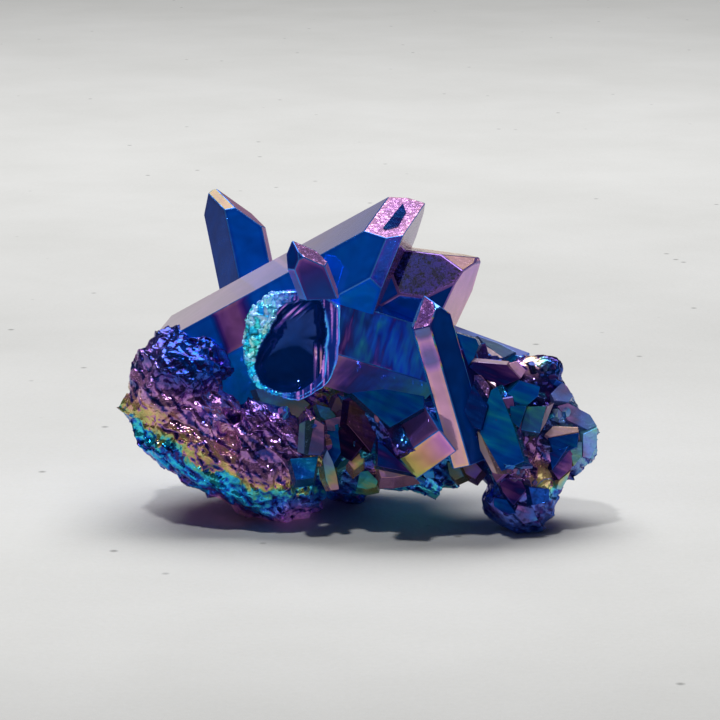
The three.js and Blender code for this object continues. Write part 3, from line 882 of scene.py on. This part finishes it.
def growDruse(rootParts, crystalPieces):
    models = []
    for shape in druse["models"].values():
        crystal = {"at": (0, 0, 0), "heading": 0, "rise": 90, "turn": 0, "back": 4, "film": {}, **shape}
        model = blankCrystal("druse_model", crystal)
        bevelEdges(model, druse["bevel"] * mm)
        models.append(model)
    chance = random.Random(seed)
    grown = []
    for place, patches in druse["patches"].items():
        shards = []
        for view, middle, half, count, radius, length, film, shade, pearlSheen in patches:
            turn = leaning(*view)
            for _ in range(count):
                across, up = [middle[i] + chance.uniform(-1, 1) * half[i] for i in range(2)]
                look = turn @ Vector((0, 1, 0))
                start = Vector(druse["from"][0]) * mm + turn @ Vector((across, -druse["from"][1], up)) * mm
                size, reach = chance.uniform(*radius), chance.uniform(*length)
                lean = Vector([chance.uniform(-1, 1) for _ in range(3)])
                tone, bright = chance.uniform(*film), chance.uniform(*shade)
                model, spin = chance.choice(models), chance.random()
                point, normal = druseSpot(start, look, rootParts, crystalPieces)
                if point is None:
                    continue
                axis = (normal + lean * druse["lean"] + Vector((0, 0, druse["upward"]))).normalized()
                shard = newPiece("druse", model.data)
                upright = axis.to_track_quat("Z", "Y").to_matrix().to_4x4()
                scale = Matrix.Diagonal((size, size, size * druse["stretch"], 1))
                base = Matrix.Translation(point + axis * (reach - druse["sunk"]) * mm)
                shard.data.transform(base @ (upright @ Matrix.Rotation(spin * math.tau, 4, "Z")) @ scale)
                coatShard(shard, tone, bright, pearlSheen, chance)
                shards.append(shard)
        grown.append(joinPieces("druse_" + place, shards))
        print("druse", place, len(shards), "crystals")
    for model in models:
        bpy.data.objects.remove(model)
    return grown


def druseSpot(start, look, rootParts, crystalPieces):
    # where the solid part is met, if that is rough root and no large crystal stands there
    hit, point, normal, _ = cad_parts["quartz_cluster"].ray_cast(start, look)
    if not hit:
        return None, None
    met = [part.ray_cast(start, look) for part in rootParts]
    onRoot = any(found[0] and (found[1] - point).length < druse["onRoot"] * mm for found in met)
    nearest = min((piece.closest_point_on_mesh(point)[1] - point).length for piece in crystalPieces)
    if not onRoot or nearest < druse["clear"] * mm:
        return None, None
    return point, normal


def coatShard(piece, tone, bright, pearlSheen, chance):
    mesh = piece.data
    values, shades = blankCoating(mesh.loops)
    for polygon in mesh.polygons:
        film = tone + chance.uniform(*druse["filmSwing"])
        shade = bright * chance.uniform(*druse["shadeSwing"])
        if polygon.area < druse["wornAndShaded"] * mm * mm:
            film, shade = tone + druse["wornFilm"], bright
        for corner in polygon.loop_indices:
            values[corner] = (film, pearlSheen * chance.random(), druse["etch"], 0.0)
            shades[corner] = shade
    writeCoating(mesh, "CORNER", values, shades)


# Flat faces broken into the root. Each: corners across and up in mm as the camera sees them, how far
# it leans right and up in degrees, the film at each corner, then pearl, etch and brightness.
brokenFaces = {
    "block": 0.1,  # side of the raw block, m
    "deep": 3.0, "proud": 0.45, "reach": 2.2,  # mm: into the root, over it, and the most it is moved out
    "grid": 1.2,  # mm between the cuts that the coating can change at
    "flare": 8,  # degrees that the flanks lean outwards
    "bevel": 0.08, "stripes": 0.45,
    "growth": (9, 0.4),  # how far the growth lines of two faces are apart, and how they slant
    "soft": 0.05,  # square mm, how softly the colours of the corners meet
    "faceAbove": 0.98, "edgeAbove": 0.3,  # how far a polygon faces out of its broken face, 1 for straight
    # film added, share of the pearl and of the brightness; the flanks are darkened as painted shade
    "edge": (-0.03, 0.5, 0.9), "flank": (0.05, 0.4, 0.4), "flankEtch": 0.2,
    "faces": {
        "tip_chip": ([(8, 29.2), (8.6, 27.5), (7.1, 24.9), (4.7, 24.2), (4.3, 24.7), (6.5, 27.5)],
            (24, 77), (0.1, 0.12, 0.06, 0.02, 0.34, 0.14), 0, 0.3, 0.3),
        "tan_facet": ([(-19.5, -5.4), (-16.6, -5), (-11.2, -6.7), (-9.3, -8.2), (-11.2, -10.6),
            (-13, -10.8), (-18.2, -8.4)],
            (10, 25), (0.2, 0.22, 0.46, 0.58, 0.62, 0.5, 0.26), 0.25, 0.1, 0.4),
        "purple_block": ([(-10.2, -11.3), (-8.4, -11), (-6.7, -12.1), (-6.7, -16.7), (-7.4, -17.7),
            (-10.4, -17.5)],
            (-5, 20), (0.92, 0.86, 0.84, 1, 1.08, 1.1), 0.1, 0.1, 0.5),
        "block_flank": ([(-11.3, -11.9), (-10.2, -11.3), (-10.4, -17.5), (-11.7, -17.1)],
            (-45, 10), (0.36, 0.3, 0.24, 0.16), 0.15, 0, 0.34),
        "teal_step": ([(-13, -18.4), (-7.8, -17.9), (-8.6, -21.9), (-11.9, -22.3)],
            (5, 35), (0.24, 0.3, 0.22, 0.16), 0, 0.2, 0.5),
        "pink_sliver": ([(-6.9, -18.6), (-6.1, -16.7), (-5, -19), (-4.3, -21.6), (-3.9, -24), (-5.4, -24.2),
            (-6.3, -22.3)],
            (15, 10), (0.24, 0.16, 0.3, 0.66, 0.82, 0.8, 0.4), 0.3, 0, 0.76),
        "maroon_face": ([(-2.4, -11.9), (-1.9, -7.6), (-0.4, -7.1), (1.5, -8.7), (3.2, -13.8), (2, -17.1)],
            (20, 15), (0.86, 0.84, 0.8, 0.84, 0.86, 0.92), 0, 0.1, 0.15),
        "maroon_under": ([(-4.1, -13.2), (-2.8, -12.5), (0.4, -16.2), (-1.7, -18.8), (-3.5, -17.9)],
            (-10, 12), (1, 0.9, 0.92, 0.98, 1.04), 0, 0, 0.13),
        "yellow_edge": ([(-3.2, -12.1), (-2.6, -8), (-1.9, -7.1), (-1.3, -7.4), (-1.7, -9.7),
            (-2.4, -12.3)],
            (-25, 30), (0.54, 0.56, 0.6, 0.58, 0.54, 0.5), 0.05, 0.2, 0.83),
        "yellow_edge_top": ([(-2, -7.3), (-0.6, -6.5), (-0.2, -6.9), (-1.5, -7.8)],
            (0, 50), (0.56, 0.62, 0.7, 0.58), 0.1, 0.2, 0.77),
        "orange_patch": ([(-2.2, -19), (0, -16.9), (0.9, -17.5), (0.6, -19.2), (-1.1, -20.5)],
            (5, 35), (0.8, 0.66, 0.56, 0.52, 0.64), 0.1, 0.2, 0.7),
        "blue_triangle": ([(3.3, -15.1), (4.8, -16.2), (9.5, -21), (3.3, -19.7)],
            (0, 18), (0.04, 0.02, 0.06, 0.04), 0, 0.05, 0.4),
        "orange_strip": ([(3.3, -19.7), (4.5, -19.9), (9.7, -21.2), (6.3, -21.8), (3.9, -21.8)],
            (0, 50), (0.72, 0.7, 0.74, 0.8, 0.78), 0.15, 0.1, 0.71),
        "cyan_chip": ([(-0.6, -23.6), (0, -20.8), (1.5, -20.6), (3.3, -22.5), (3, -23.6), (1.1, -24)],
            (-5, 30), (0.36, 0.34, 0.38, 0.46, 0.52, 0.5), 0.05, 0.2, 0.71),
        "teal_lower_face": ([(-1.5, -6.1), (4.5, -5.4), (11.9, -6.7), (11.9, -8.9), (5.6, -12.5),
            (2.2, -9.5)],
            (5, 22), (0.2, 0.17, 0.15, 0.16, 0.18, 0.22), 0, 0, 0.4),
        "dark_column": ([(-6.3, -12.6), (-4.1, -11.9), (-3.5, -17.1), (-5.6, -20.5), (-6.5, -17.1)],
            (-15, 14), (0.22, 0.3, 0.2, 0.12, 0.1), 0, 0.1, 0.4),
        "green_pebble": ([(-8.2, -8.2), (-5.6, -8.9), (-4.5, -10.4), (-5.6, -11.5), (-7.3, -10.6)],
            (0, 35), (0.3, 0.44, 0.4, 0.48, 0.34), 0.1, 0.3, 0.45),
        "violet_flake": ([(-6.5, -11.2), (-3.2, -10.4), (-2.8, -11.7), (-4.7, -13.2), (-6.1, -13)],
            (10, 20), (0.9, 0.84, 0.94, 1.06, 1), 0.1, 0.2, 0.35),
        "violet_rim": ([(-4.5, -7.1), (-3, -6.5), (-2.8, -8.9), (-3.9, -10.2), (-5.4, -9.3)],
            (10, 10), (0.84, 0.8, 0.9, 0.96, 0.9), 0.15, 0.2, 0.25),
        "kite": ([(24.4, -5.6), (25.5, -5), (28.3, -11.7), (30.5, -18.8), (25.5, -21), (22.3, -13.6),
            (23.4, -8.6)],
            (-14, 16), (0.27, 0.27, 0.26, 0.2, 0.1, 0.2, 0.26), 0, 0.05, 0.6),
        "kite_flank": ([(21.8, -13.2), (22.3, -13.6), (25.5, -21.2), (24.6, -21), (22.3, -16.7)],
            (-50, 0), (0.66, 0.6, 0.72, 0.8, 0.76), 0.35, 0, 0.43),
        "speckled_top": ([(21.2, -2.8), (22.5, -2.8), (24.2, -5), (23.6, -8.2), (22.1, -7.1), (21.2, -4.5)],
            (-20, 20), (0.94, 0.88, 0.9, 0.84, 0.92, 1), 0.05, 0.9, 0.28),
        "cream_edge": ([(21.6, -2.2), (22.9, -2.4), (25.3, -4.3), (25.3, -5), (22.9, -3.3)],
            (0, 55), (0.74, 0.72, 0.78, 0.8, 0.74), 0.4, 0.1, 0.68),
        "dark_left": ([(19.3, -9.5), (21, -4.5), (23.6, -8.6), (22.5, -13), (21.2, -12.6)],
            (-15, 12), (0.06, 0.08, 0.12, 0.1, 0.04), 0, 0.3, 0.35),
        "violet_face": ([(20.3, -1.3), (21.2, -0.4), (27.3, -0.9), (29.8, -3.5), (26.2, -5), (22.7, -3.2)],
            (0, 12), (1.06, 1, 0.92, 0.9, 0.98, 1.04), 0, 0.05, 0.35),
        "violet_top": ([(20.6, -0.2), (21.2, 0.4), (27.7, -0.2), (27.3, -0.9), (21.2, -0.4)],
            (0, 50), (0.8, 0.84, 0.8, 0.76, 0.82), 0.55, 0, 0.64),
        "violet_tip": ([(27.5, -0.6), (29.2, -0.2), (30.9, -1.9), (29.9, -3.5)],
            (35, 35), (0.8, 0.82, 0.86, 0.84), 0.25, 0.3, 0.9),
        "ridge_face": ([(18, 5), (21.6, 3.9), (22.1, 2.8), (21.2, 0.4), (20.1, -1.1), (19.2, 1.7)],
            (-5, 15), (0.2, 0.22, 0.26, 0.2, 0.14, 0.18), 0, 0.05, 0.5),
        "ridge_glint": ([(21.6, 3), (22.9, 3.2), (26.6, 0.4), (25.5, 0.2), (22.3, 1.9)],
            (10, 45), (0.76, 0.8, 0.74, 0.78, 0.78), 0.6, 0.1, 0.72),
        "ridge_glass": ([(21.9, 4.5), (25.7, 3.2), (29, 1.5), (26.6, 0.4), (23.1, 3)],
            (10, 35), (0.22, 0.3, 0.24, 0.18, 0.26), 0.25, 0.2, 0.5),
        "blue_shard": ([(27.2, -6.5), (29.8, -3.9), (33.5, -5), (33.1, -6.7), (30.9, -8.6), (28.8, -7.8)],
            (10, 14), (0.16, 0.12, 0.15, 0.18, 0.24, 0.26), 0, 0.05, 0.8),
        "blue_shard_low": ([(27.9, -8.6), (30.9, -8.7), (29.6, -12.6), (28.1, -11.2)],
            (0, 12), (0.22, 0.2, 0.24, 0.26), 0, 0.05, 0.4),
        "banded_face": ([(31.2, -8.7), (34.6, -8.6), (33.5, -13.6), (29.9, -13), (30.7, -10)],
            (15, 20), (0.5, 0.4, 0.22, 0.16, 0.2), 0.05, 0.05, 0.5),
        "banded_edge": ([(35, -8.6), (36.1, -8), (34.6, -11.7), (33.3, -13.8), (33.7, -11.2)],
            (40, 20), (0.86, 0.9, 0.84, 0.8, 0.88), 0.45, 0, 0.43),
        "far_glass_top": ([(35.5, -6.3), (37.6, -4.1), (38.5, -4.8), (39.6, -6.7), (38.7, -7.8),
            (36.1, -7.6)],
            (10, 30), (0.1, 0.2, -0.14, 0.26, 0.2, 0.06), 0.25, 0.2, 0.75),
        "far_glass": ([(36.8, -8.6), (38.7, -8), (42.8, -10.2), (44.1, -12.3), (42.4, -13), (38.7, -11.2)],
            (15, 20), (-0.1, -0.06, 0.22, 0.3, 0.2, -0.08), 0.25, 0.25, 0.95),
        "far_glass_end": ([(41.5, -13.8), (44.1, -12.6), (44.1, -15.8), (42.8, -18.4), (41.5, -18)],
            (20, 0), (0.3, 0.4, 0.3, 0.26, -0.1), 0.3, 0.3, 1),
        "far_dark": ([(35, -14.5), (40.7, -13.6), (40.4, -16.2), (38.3, -17.1), (35.9, -17.1)],
            (0, 14), (0.12, 0.16, 0.2, 0.14, 0.1), 0, 0.2, 0.45),
        "cream_bar": ([(34.4, -13.8), (35.9, -12.3), (40.5, -12.5), (40.7, -13.4), (35.2, -14.3)],
            (0, 40), (0.78, 0.72, 0.7, 0.76, 0.8), 0.35, 0.1, 0.72),
        "wedge_blue": ([(35.2, -17.3), (38.7, -16), (35.7, -20.5)],
            (-20, 14), (0.12, 0.16, 0.1), 0, 0.1, 0.5),
        "wedge_purple": ([(38.7, -16.2), (39.6, -17.5), (39.4, -20.1), (37, -22.3), (35.7, -20.5)],
            (20, 5), (0.94, 0.86, 0.88, 0.94, 1), 0, 0.1, 0.35),
        "wedge_end": ([(37, -22.5), (39.2, -20.6), (38.5, -22.3), (37.4, -24.2), (36.5, -24)],
            (20, 0), (0.66, 0.8, 0.4, 0.34, 0.3), 0.35, 0.1, 0.85),
        "far_pale_facet": ([(39.2, -15.1), (41.3, -15.3), (41.3, -17.9), (39.8, -19.7), (39.2, -17.3)],
            (20, 10), (0.34, 0.3, 0.4, 0.56, 0.36), 0.25, 0.2, 0.8),
        "foot_violet": ([(25.5, -21.6), (29, -20.5), (30.9, -24.2), (28.6, -27), (26.6, -24.6)],
            (0, 14), (0.96, 0.92, 1, 1.04, 1), 0, 0.1, 0.36),
        "foot_blue": ([(31.4, -23.6), (35.2, -24), (35.2, -26.4), (32.2, -27)],
            (25, 6), (0.08, 0.14, 0.12, 0.1), 0, 0.2, 0.55),
        "foot_grey": ([(24.9, -25.5), (27.2, -26), (29, -28.5), (27.2, -28.8), (24.9, -27.2)],
            (-10, 12), (0, 0.16, 0.1, 0.02, 0.2), 0, 0.2, 0.6),
        "foot_pearl": ([(29.4, -27), (32.2, -27.5), (33.1, -29.8), (30.5, -30.5), (28.6, -28.6)],
            (15, 4), (-0.06, 0.08, 0.24, -0.02, 0.14), 0.08, 0.3, 0.6),
        "pink_wedge": ([(18.8, -19.3), (21, -18.6), (22.7, -20.5), (21.4, -22.1), (19.7, -21.2)],
            (-10, 30), (0.64, 0.8, 0.88, 0.92, 0.76), 0.1, 0.2, 0.37),
        "olive_chip": ([(16.2, -19), (18.2, -19.2), (19.3, -21.6), (17.7, -22.3), (16.6, -21.2)],
            (-15, 25), (0.5, 0.56, 0.44, 0.62, 0.52), 0.15, 0.3, 0.31),
    },
}


def cameraRay(across, up):
    # from the camera through a point of the plane it is aimed at
    elevation = math.radians(studio["elevation"])
    ahead = Vector((0, math.cos(elevation), -math.sin(elevation)))
    upward = Vector((0, math.sin(elevation), math.cos(elevation)))
    eye = Vector(studio["target"]) * mm - ahead * studio["distance"]
    return eye, (Vector((across * mm, 0, 0)) + upward * up * mm + ahead * studio["distance"]).normalized()


def facePlace(corners, lean):
    # the plane of one broken face, just proud of the solid part, and its corners in that plane
    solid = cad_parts["quartz_cluster"]
    rays = [cameraRay(*corner) for corner in corners]
    eye, middle = cameraRay(*[sum(corner[i] for corner in corners) / len(corners) for i in range(2)])
    hit, centre, _, _ = solid.ray_cast(eye, middle)
    if not hit:
        return None, None
    facing = (leaning(*lean) @ Vector((0, -1, 0))).normalized()
    behind = 0.0
    for _, ray in rays:
        onSolid, point, _, _ = solid.ray_cast(eye, ray)
        if onSolid:
            reach = (centre - eye).dot(facing) / ray.dot(facing)
            behind = max(behind, reach - (point - eye).length)
    centre = centre - middle * min(behind + brokenFaces["proud"] * mm, brokenFaces["reach"] * mm)
    side = (Vector((1, 0, 0)) - facing * facing.x).normalized()
    place = Matrix((side, facing.cross(side), facing)).transposed().to_4x4()
    place.translation = centre
    depth = (centre - eye).dot(facing)
    flat = [place.inverted() @ (eye + ray * (depth / ray.dot(facing))) for _, ray in rays]
    return place, flat


def growBrokenFaces():
    pieces = []
    flare = math.radians(brokenFaces["flare"])
    for name, (corners, lean, *look) in brokenFaces["faces"].items():
        place, flat = facePlace(corners, lean)
        if place is None:
            print("no root behind", name)
            continue
        sides = list(zip(flat, flat[1:] + flat[:1]))
        around = 1 if sum(a.x * b.y - a.y * b.x for a, b in sides) > 0 else -1  # which way the corners go
        planes = [(Vector((0, 0, 1)), 0), (Vector((0, 0, -1)), brokenFaces["deep"] * mm)]
        for a, b in sides:
            outward = Vector((b.y - a.y, a.x - b.x, 0)).normalized() * around
            normal = outward * math.cos(flare) + Vector((0, 0, math.sin(flare)))
            planes.append((normal, normal.dot(a)))
        piece = cutBlock(name, brokenFaces["block"], planes)
        bevelEdges(piece, brokenFaces["bevel"] * mm)
        setMode("EDIT")
        wide = max(corner.length for corner in flat)
        steps = int(wide / mm / brokenFaces["grid"])
        for k in range(-steps, steps + 1):
            cutPlane(Vector((1, 0, 0)), (k + 0.5) * brokenFaces["grid"] * mm, False)
            cutPlane(Vector((0, 1, 0)), (k + 0.5) * brokenFaces["grid"] * mm, False)
        setMode("OBJECT")
        coatBrokenFace(piece, flat, *look)
        piece.matrix_world = place
        pick(piece)
        bpy.ops.object.transform_apply(location=True, rotation=True, scale=True)
        pieces.append(piece)
    joined = joinPieces("broken_faces", pieces)
    trimToSolid(joined)
    return joined


def coatBrokenFace(piece, corners, films, pearlSheen, etch, bright):
    mesh = piece.data
    values, shades = blankCoating(mesh.loops)
    grown = np.zeros((len(mesh.loops), 3), np.float32)
    (apart, slant), soft = brokenFaces["growth"], brokenFaces["soft"]
    start = corners[0].x / mm * apart
    for polygon in mesh.polygons:
        for loop in polygon.loop_indices:
            point = mesh.vertices[mesh.loops[loop].vertex_index].co
            grown[loop] = (point.x / mm, point.z / mm, start + (point.y + point.x * slant) / mm)
            weights = [1 / ((point - corner).length_squared / mm ** 2 + soft) for corner in corners]
            film = sum(w * f for w, f in zip(weights, films)) / sum(weights)
            if polygon.normal.z > brokenFaces["faceAbove"]:
                values[loop], shades[loop] = (film, pearlSheen, etch, brokenFaces["stripes"]), bright
                continue
            wornAndShaded = polygon.normal.z > brokenFaces["edgeAbove"]
            more, pale, dim = brokenFaces["edge" if wornAndShaded else "flank"]
            values[loop] = (film + more, pearlSheen * pale, etch if wornAndShaded else brokenFaces["flankEtch"], 0.0)
            shades[loop] = bright * dim
    writeCoating(mesh, "CORNER", values, shades, grown)


class Wire:
    # a shader socket: arithmetic on it adds Math nodes, node() adds any node
    def __init__(self, tree, socket=None):
        self.tree, self.socket = tree, socket

    def node(self, kind, settings=None, inputs=None, out=0):
        made = self.tree.nodes.new(kind)
        for name, value in (settings or {}).items():
            if name == "stops":
                while len(made.color_ramp.elements) < len(value):
                    made.color_ramp.elements.new(0.5)
                for element, (place, colour) in zip(made.color_ramp.elements, value):
                    element.position = place
                    element.color = (*colour, 1)
            else:
                setattr(made, name, value)
        for name, value in (inputs or {}).items():
            if isinstance(value, Wire):
                self.tree.links.new(value.socket, made.inputs[name])
            else:
                made.inputs[name].default_value = value
        return Wire(self.tree, made.outputs[out]) if out is not None else None

    def attribute(self, name, out):
        return self.node("ShaderNodeAttribute", {"attribute_name": name}, out=out)

    def noise(self, place, scale, detail, distortion=0.0):
        inputs = {"Vector": place, "Scale": scale, "Detail": detail, "Distortion": distortion}
        return self.node("ShaderNodeTexNoise", inputs=inputs)

    def maths(self, operation, a, b=0.0):
        return self.node("ShaderNodeMath", {"operation": operation}, {0: a, 1: b})

    def vector(self, operation, a, b, out="Vector"):
        return self.node("ShaderNodeVectorMath", {"operation": operation}, {0: a, 1: b}, out)

    def scaled(self, a, by):
        return self.node("ShaderNodeVectorMath", {"operation": "SCALE"}, {0: a, "Scale": by})

    def mixed(self, share, a, b):
        return self.node("ShaderNodeMix", {"data_type": "RGBA"}, {0: share, 6: a, 7: b}, out=2)

    def __add__(self, other):
        return self.maths("ADD", self, other)

    def __sub__(self, other):
        return self.maths("SUBTRACT", self, other)

    def __rsub__(self, other):
        return self.maths("SUBTRACT", other, self)

    def __mul__(self, other):
        return self.maths("MULTIPLY", self, other)

    __radd__, __rmul__ = __add__, __mul__


def chippedRelief(w, place, scale, tilt):
    # every cell is a small flat facet that leans its own way; height in metres
    cells = {"Vector": place, "Scale": scale}
    centre = w.node("ShaderNodeTexVoronoi", inputs=cells, out="Position")
    lean = w.node("ShaderNodeTexVoronoi", inputs=cells, out="Color")
    lean = w.vector("SUBTRACT", lean, (0.5, 0.5, 0.5))
    return w.vector("DOT_PRODUCT", lean, w.vector("SUBTRACT", place, centre), "Value") * tilt


def emptyMaterial(name):
    material = bpy.data.materials.new(name)
    material.use_nodes = True
    material.node_tree.nodes.clear()
    return material, Wire(material.node_tree)


def coatingMaterial(name, look):
    material, w = emptyMaterial(name)
    # what the pieces carry
    painted = w.attribute("coating", "Color")
    stripes = w.attribute("coating", "Alpha")
    film, pearlSheen, etch = [w.node("ShaderNodeSeparateColor", inputs={0: painted}, out=i) for i in range(3)]
    shade = w.attribute("shade", "Fac")
    place = w.node("ShaderNodeTexCoord", out="Object")
    own = w.attribute("grown", "Vector")
    # the film's colour, its drift over each face and its growth bands
    noises = coatingLook["noises"]
    slow = w.noise(place, *noises["slow"])
    fine = w.noise(place, *noises["fine"])
    alongAxis = w.node("ShaderNodeMapping", inputs={"Vector": own, "Scale": coatingLook["bandScale"]})
    bands = w.noise(alongAxis, *noises["bands"])
    phase = film + (slow - 0.5) * look["drift"]
    phase = phase + (fine - 0.5) * (etch * coatingLook["etchDrift"] + look["fineDrift"])
    phase = phase + (bands - 0.5) * (stripes * coatingLook["stripeDrift"])
    colour = w.node("ShaderNodeValToRGB", {"stops": filmColours}, {0: w.maths("FRACT", phase)})
    veils = w.noise(place, *noises["veils"])
    # depth: brightness of each face, partly painted light and shade; washed: the painted reflection mixed
    # over it
    depth = shade * (1 + (veils - 0.5) * look["veils"])
    washed = w.mixed(pearlSheen, w.scaled(colour, depth), (*coatingLook["pearlSheen"], 1))
    rough = etch * (look["etchedRoughness"] - look["roughness"]) + look["roughness"]
    # the darkest faces mirror in the colour of the film alone
    mirrored, lost = coatingLook["darkMetallic"]
    metallic = look["metallic"] * (1 - pearlSheen * coatingLook["pearlMetallic"])
    metallic = w.maths("MAXIMUM", metallic, mirrored - shade * lost)
    # relief: growth lines run round the crystal, so they change along its axis alone
    acrossAxis = w.node("ShaderNodeMapping", inputs={"Vector": own, "Scale": coatingLook["lineScale"]})
    lines = w.noise(acrossAxis, *noises["lines"])
    grain = w.noise(place, *noises["grain"])
    waves = w.noise(place, *noises["waves"])
    relief = waves * look["waves"] + lines * look["lines"] + grain * (etch * look["grain"])
    for scale in (look["chips"], look["chips"] * coatingLook["fineChips"]):
        relief = relief + chippedRelief(w, place, scale, look["chipTilt"]) * etch
    bumped = w.node("ShaderNodeBump", inputs={"Strength": 1.0, "Distance": 1.0, "Height": relief})
    # the emission is a painted glow: it lifts the shaded faces, though the coating is no lamp
    shader = w.node("ShaderNodeBsdfPrincipled", inputs={
        "Base Color": washed, "Metallic": metallic, "Roughness": rough, "Normal": bumped,
        "Specular Tint": (*look["grazingTint"], 1),
        "Coat Weight": look["coat"], "Coat Roughness": look["coatRoughness"], "Coat IOR": look["coatIor"],
        "Emission Color": washed, "Emission Strength": look["paintedGlow"],
    })
    w.node("ShaderNodeOutputMaterial", inputs={"Surface": shader}, out=None)
    return material


# the pale floor: its tones, and the painted shade that changes them from front to back in the floor's own
# metres
plaster = {
    "size": 4, "at": (0, 0.6, 0),  # m
    "dark": (0.63, 0.63, 0.615), "light": (0.69, 0.69, 0.68),
    "from": -0.80, "to": -0.15, "tone": ((0.0, 0.60), (0.17, 0.91), (0.30, 0.96), (0.56, 0.86), (1.0, 1.0)),
    "clouds": {"Scale": 14.0, "Detail": 6.0, "Roughness": 0.6}, "sand": (900.0, 3.0), "sandShare": 0.3,
    "pores": {"Scale": 60.0}, "pore": {"From Min": 0.02, "From Max": 0.06, "To Min": 0.5, "To Max": 1.0},
    "bump": {"Strength": 0.4, "Distance": 0.0004}, "sandBump": 0.6, "roughness": 0.8,
}


def plasterMaterial():
    material, w = emptyMaterial("plaster")
    place = w.node("ShaderNodeTexCoord", out="Object")
    clouds = w.node("ShaderNodeTexNoise", inputs={"Vector": place, **plaster["clouds"]})
    sand = w.noise(place, *plaster["sand"])
    holes = w.node("ShaderNodeTexVoronoi", inputs={"Vector": place, **plaster["pores"]})
    away = w.node("ShaderNodeSeparateXYZ", inputs={0: place}, out="Y")
    span = {"From Min": plaster["from"], "From Max": plaster["to"]}
    along = w.node("ShaderNodeMapRange", inputs={0: away, **span})
    # painted shade: darker towards the front of the floor and a little in a band further back
    wornAndShaded = w.node("ShaderNodeValToRGB", {"stops": [(k, (v, v, v)) for k, v in plaster["tone"]]}, {0: along})
    pore = w.node("ShaderNodeMapRange", inputs={0: holes, **plaster["pore"]})
    tones = {"stops": [(0.3, plaster["dark"]), (0.7, plaster["light"])]}
    colour = w.node("ShaderNodeValToRGB", tones, {0: clouds + (sand - 0.5) * plaster["sandShare"]})
    colour = w.scaled(w.vector("MULTIPLY", colour, wornAndShaded), pore)
    height = sand * plaster["sandBump"] + clouds
    bumped = w.node("ShaderNodeBump", inputs={**plaster["bump"], "Height": height})
    look = {"Base Color": colour, "Roughness": plaster["roughness"], "Normal": bumped}
    shader = w.node("ShaderNodeBsdfPrincipled", inputs=look)
    w.node("ShaderNodeOutputMaterial", inputs={"Surface": shader}, out=None)
    return material


def layFloor():
    deselectAll()
    bpy.ops.mesh.primitive_plane_add(size=plaster["size"], location=plaster["at"])
    floor = bpy.context.object
    floor.name = "floor"
    floor.data.materials.append(plasterMaterial())


def areaLight(name, place, target, size, power):
    deselectAll()
    bpy.ops.object.light_add(type="AREA", location=place)
    light = bpy.context.object
    light.name = name
    light.data.shape = "RECTANGLE"
    light.data.size, light.data.size_y = size
    light.data.energy = power
    light.rotation_euler = (Vector(target) - Vector(place)).to_track_quat("-Z", "Y").to_euler()


def lightStudio():
    world = bpy.data.worlds.new("studio")
    bpy.context.scene.world = world
    world.use_nodes = True
    world.node_tree.nodes["Background"].inputs["Color"].default_value = (1.0, 1.0, 1.0, 1)
    world.node_tree.nodes["Background"].inputs["Strength"].default_value = studio["worldLight"]
    for name, light in studio["lights"].items():
        areaLight(name, *light)
    bpy.context.scene.view_settings.view_transform = "Standard"


def placeCamera():
    target = Vector(studio["target"]) * mm
    elevation = math.radians(studio["elevation"])
    away = Vector((0, -math.cos(elevation), math.sin(elevation)))
    deselectAll()
    bpy.ops.object.camera_add(location=target + away * studio["distance"])
    camera = bpy.context.object
    camera.rotation_euler = (math.pi / 2 - elevation, 0, 0)
    camera.data.lens = studio["lens"]
    camera.data.clip_start = studio["nearest"]
    bpy.context.scene.camera = camera


crystalCoating = coatingMaterial("crystal_coating", coatingLook["crystal"])
rootCoating = coatingMaterial("root_coating", coatingLook["root"])

pieces = [(growCrystal(name + "_crystal", crystal), crystalCoating) for name, crystal in crystals.items()]
print("grown", len(pieces), "crystals")
pieces.append((growCrystal("broken_crystal", brokenCrystal["stub"]), crystalCoating))
pieces.append((growHollowEnd(), crystalCoating))
print("broken crystal hollowed")
crystalPieces = [piece for piece, _ in pieces]
rootParts = growRoot()
pieces += [(part, rootCoating) for part in rootParts]
print("root broken up")
pieces += [(piece, crystalCoating) for piece in growDruse(rootParts, crystalPieces)]
pieces.append((growBrokenFaces(), crystalCoating))
print("broken faces set in")

for piece, coating in pieces:
    trimBelowGround(piece)
    piece.data.materials.clear()
    piece.data.materials.append(coating)
    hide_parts("quartz_cluster")
    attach(piece, "root")

layFloor()
lightStudio()
placeCamera()
print("studio set")
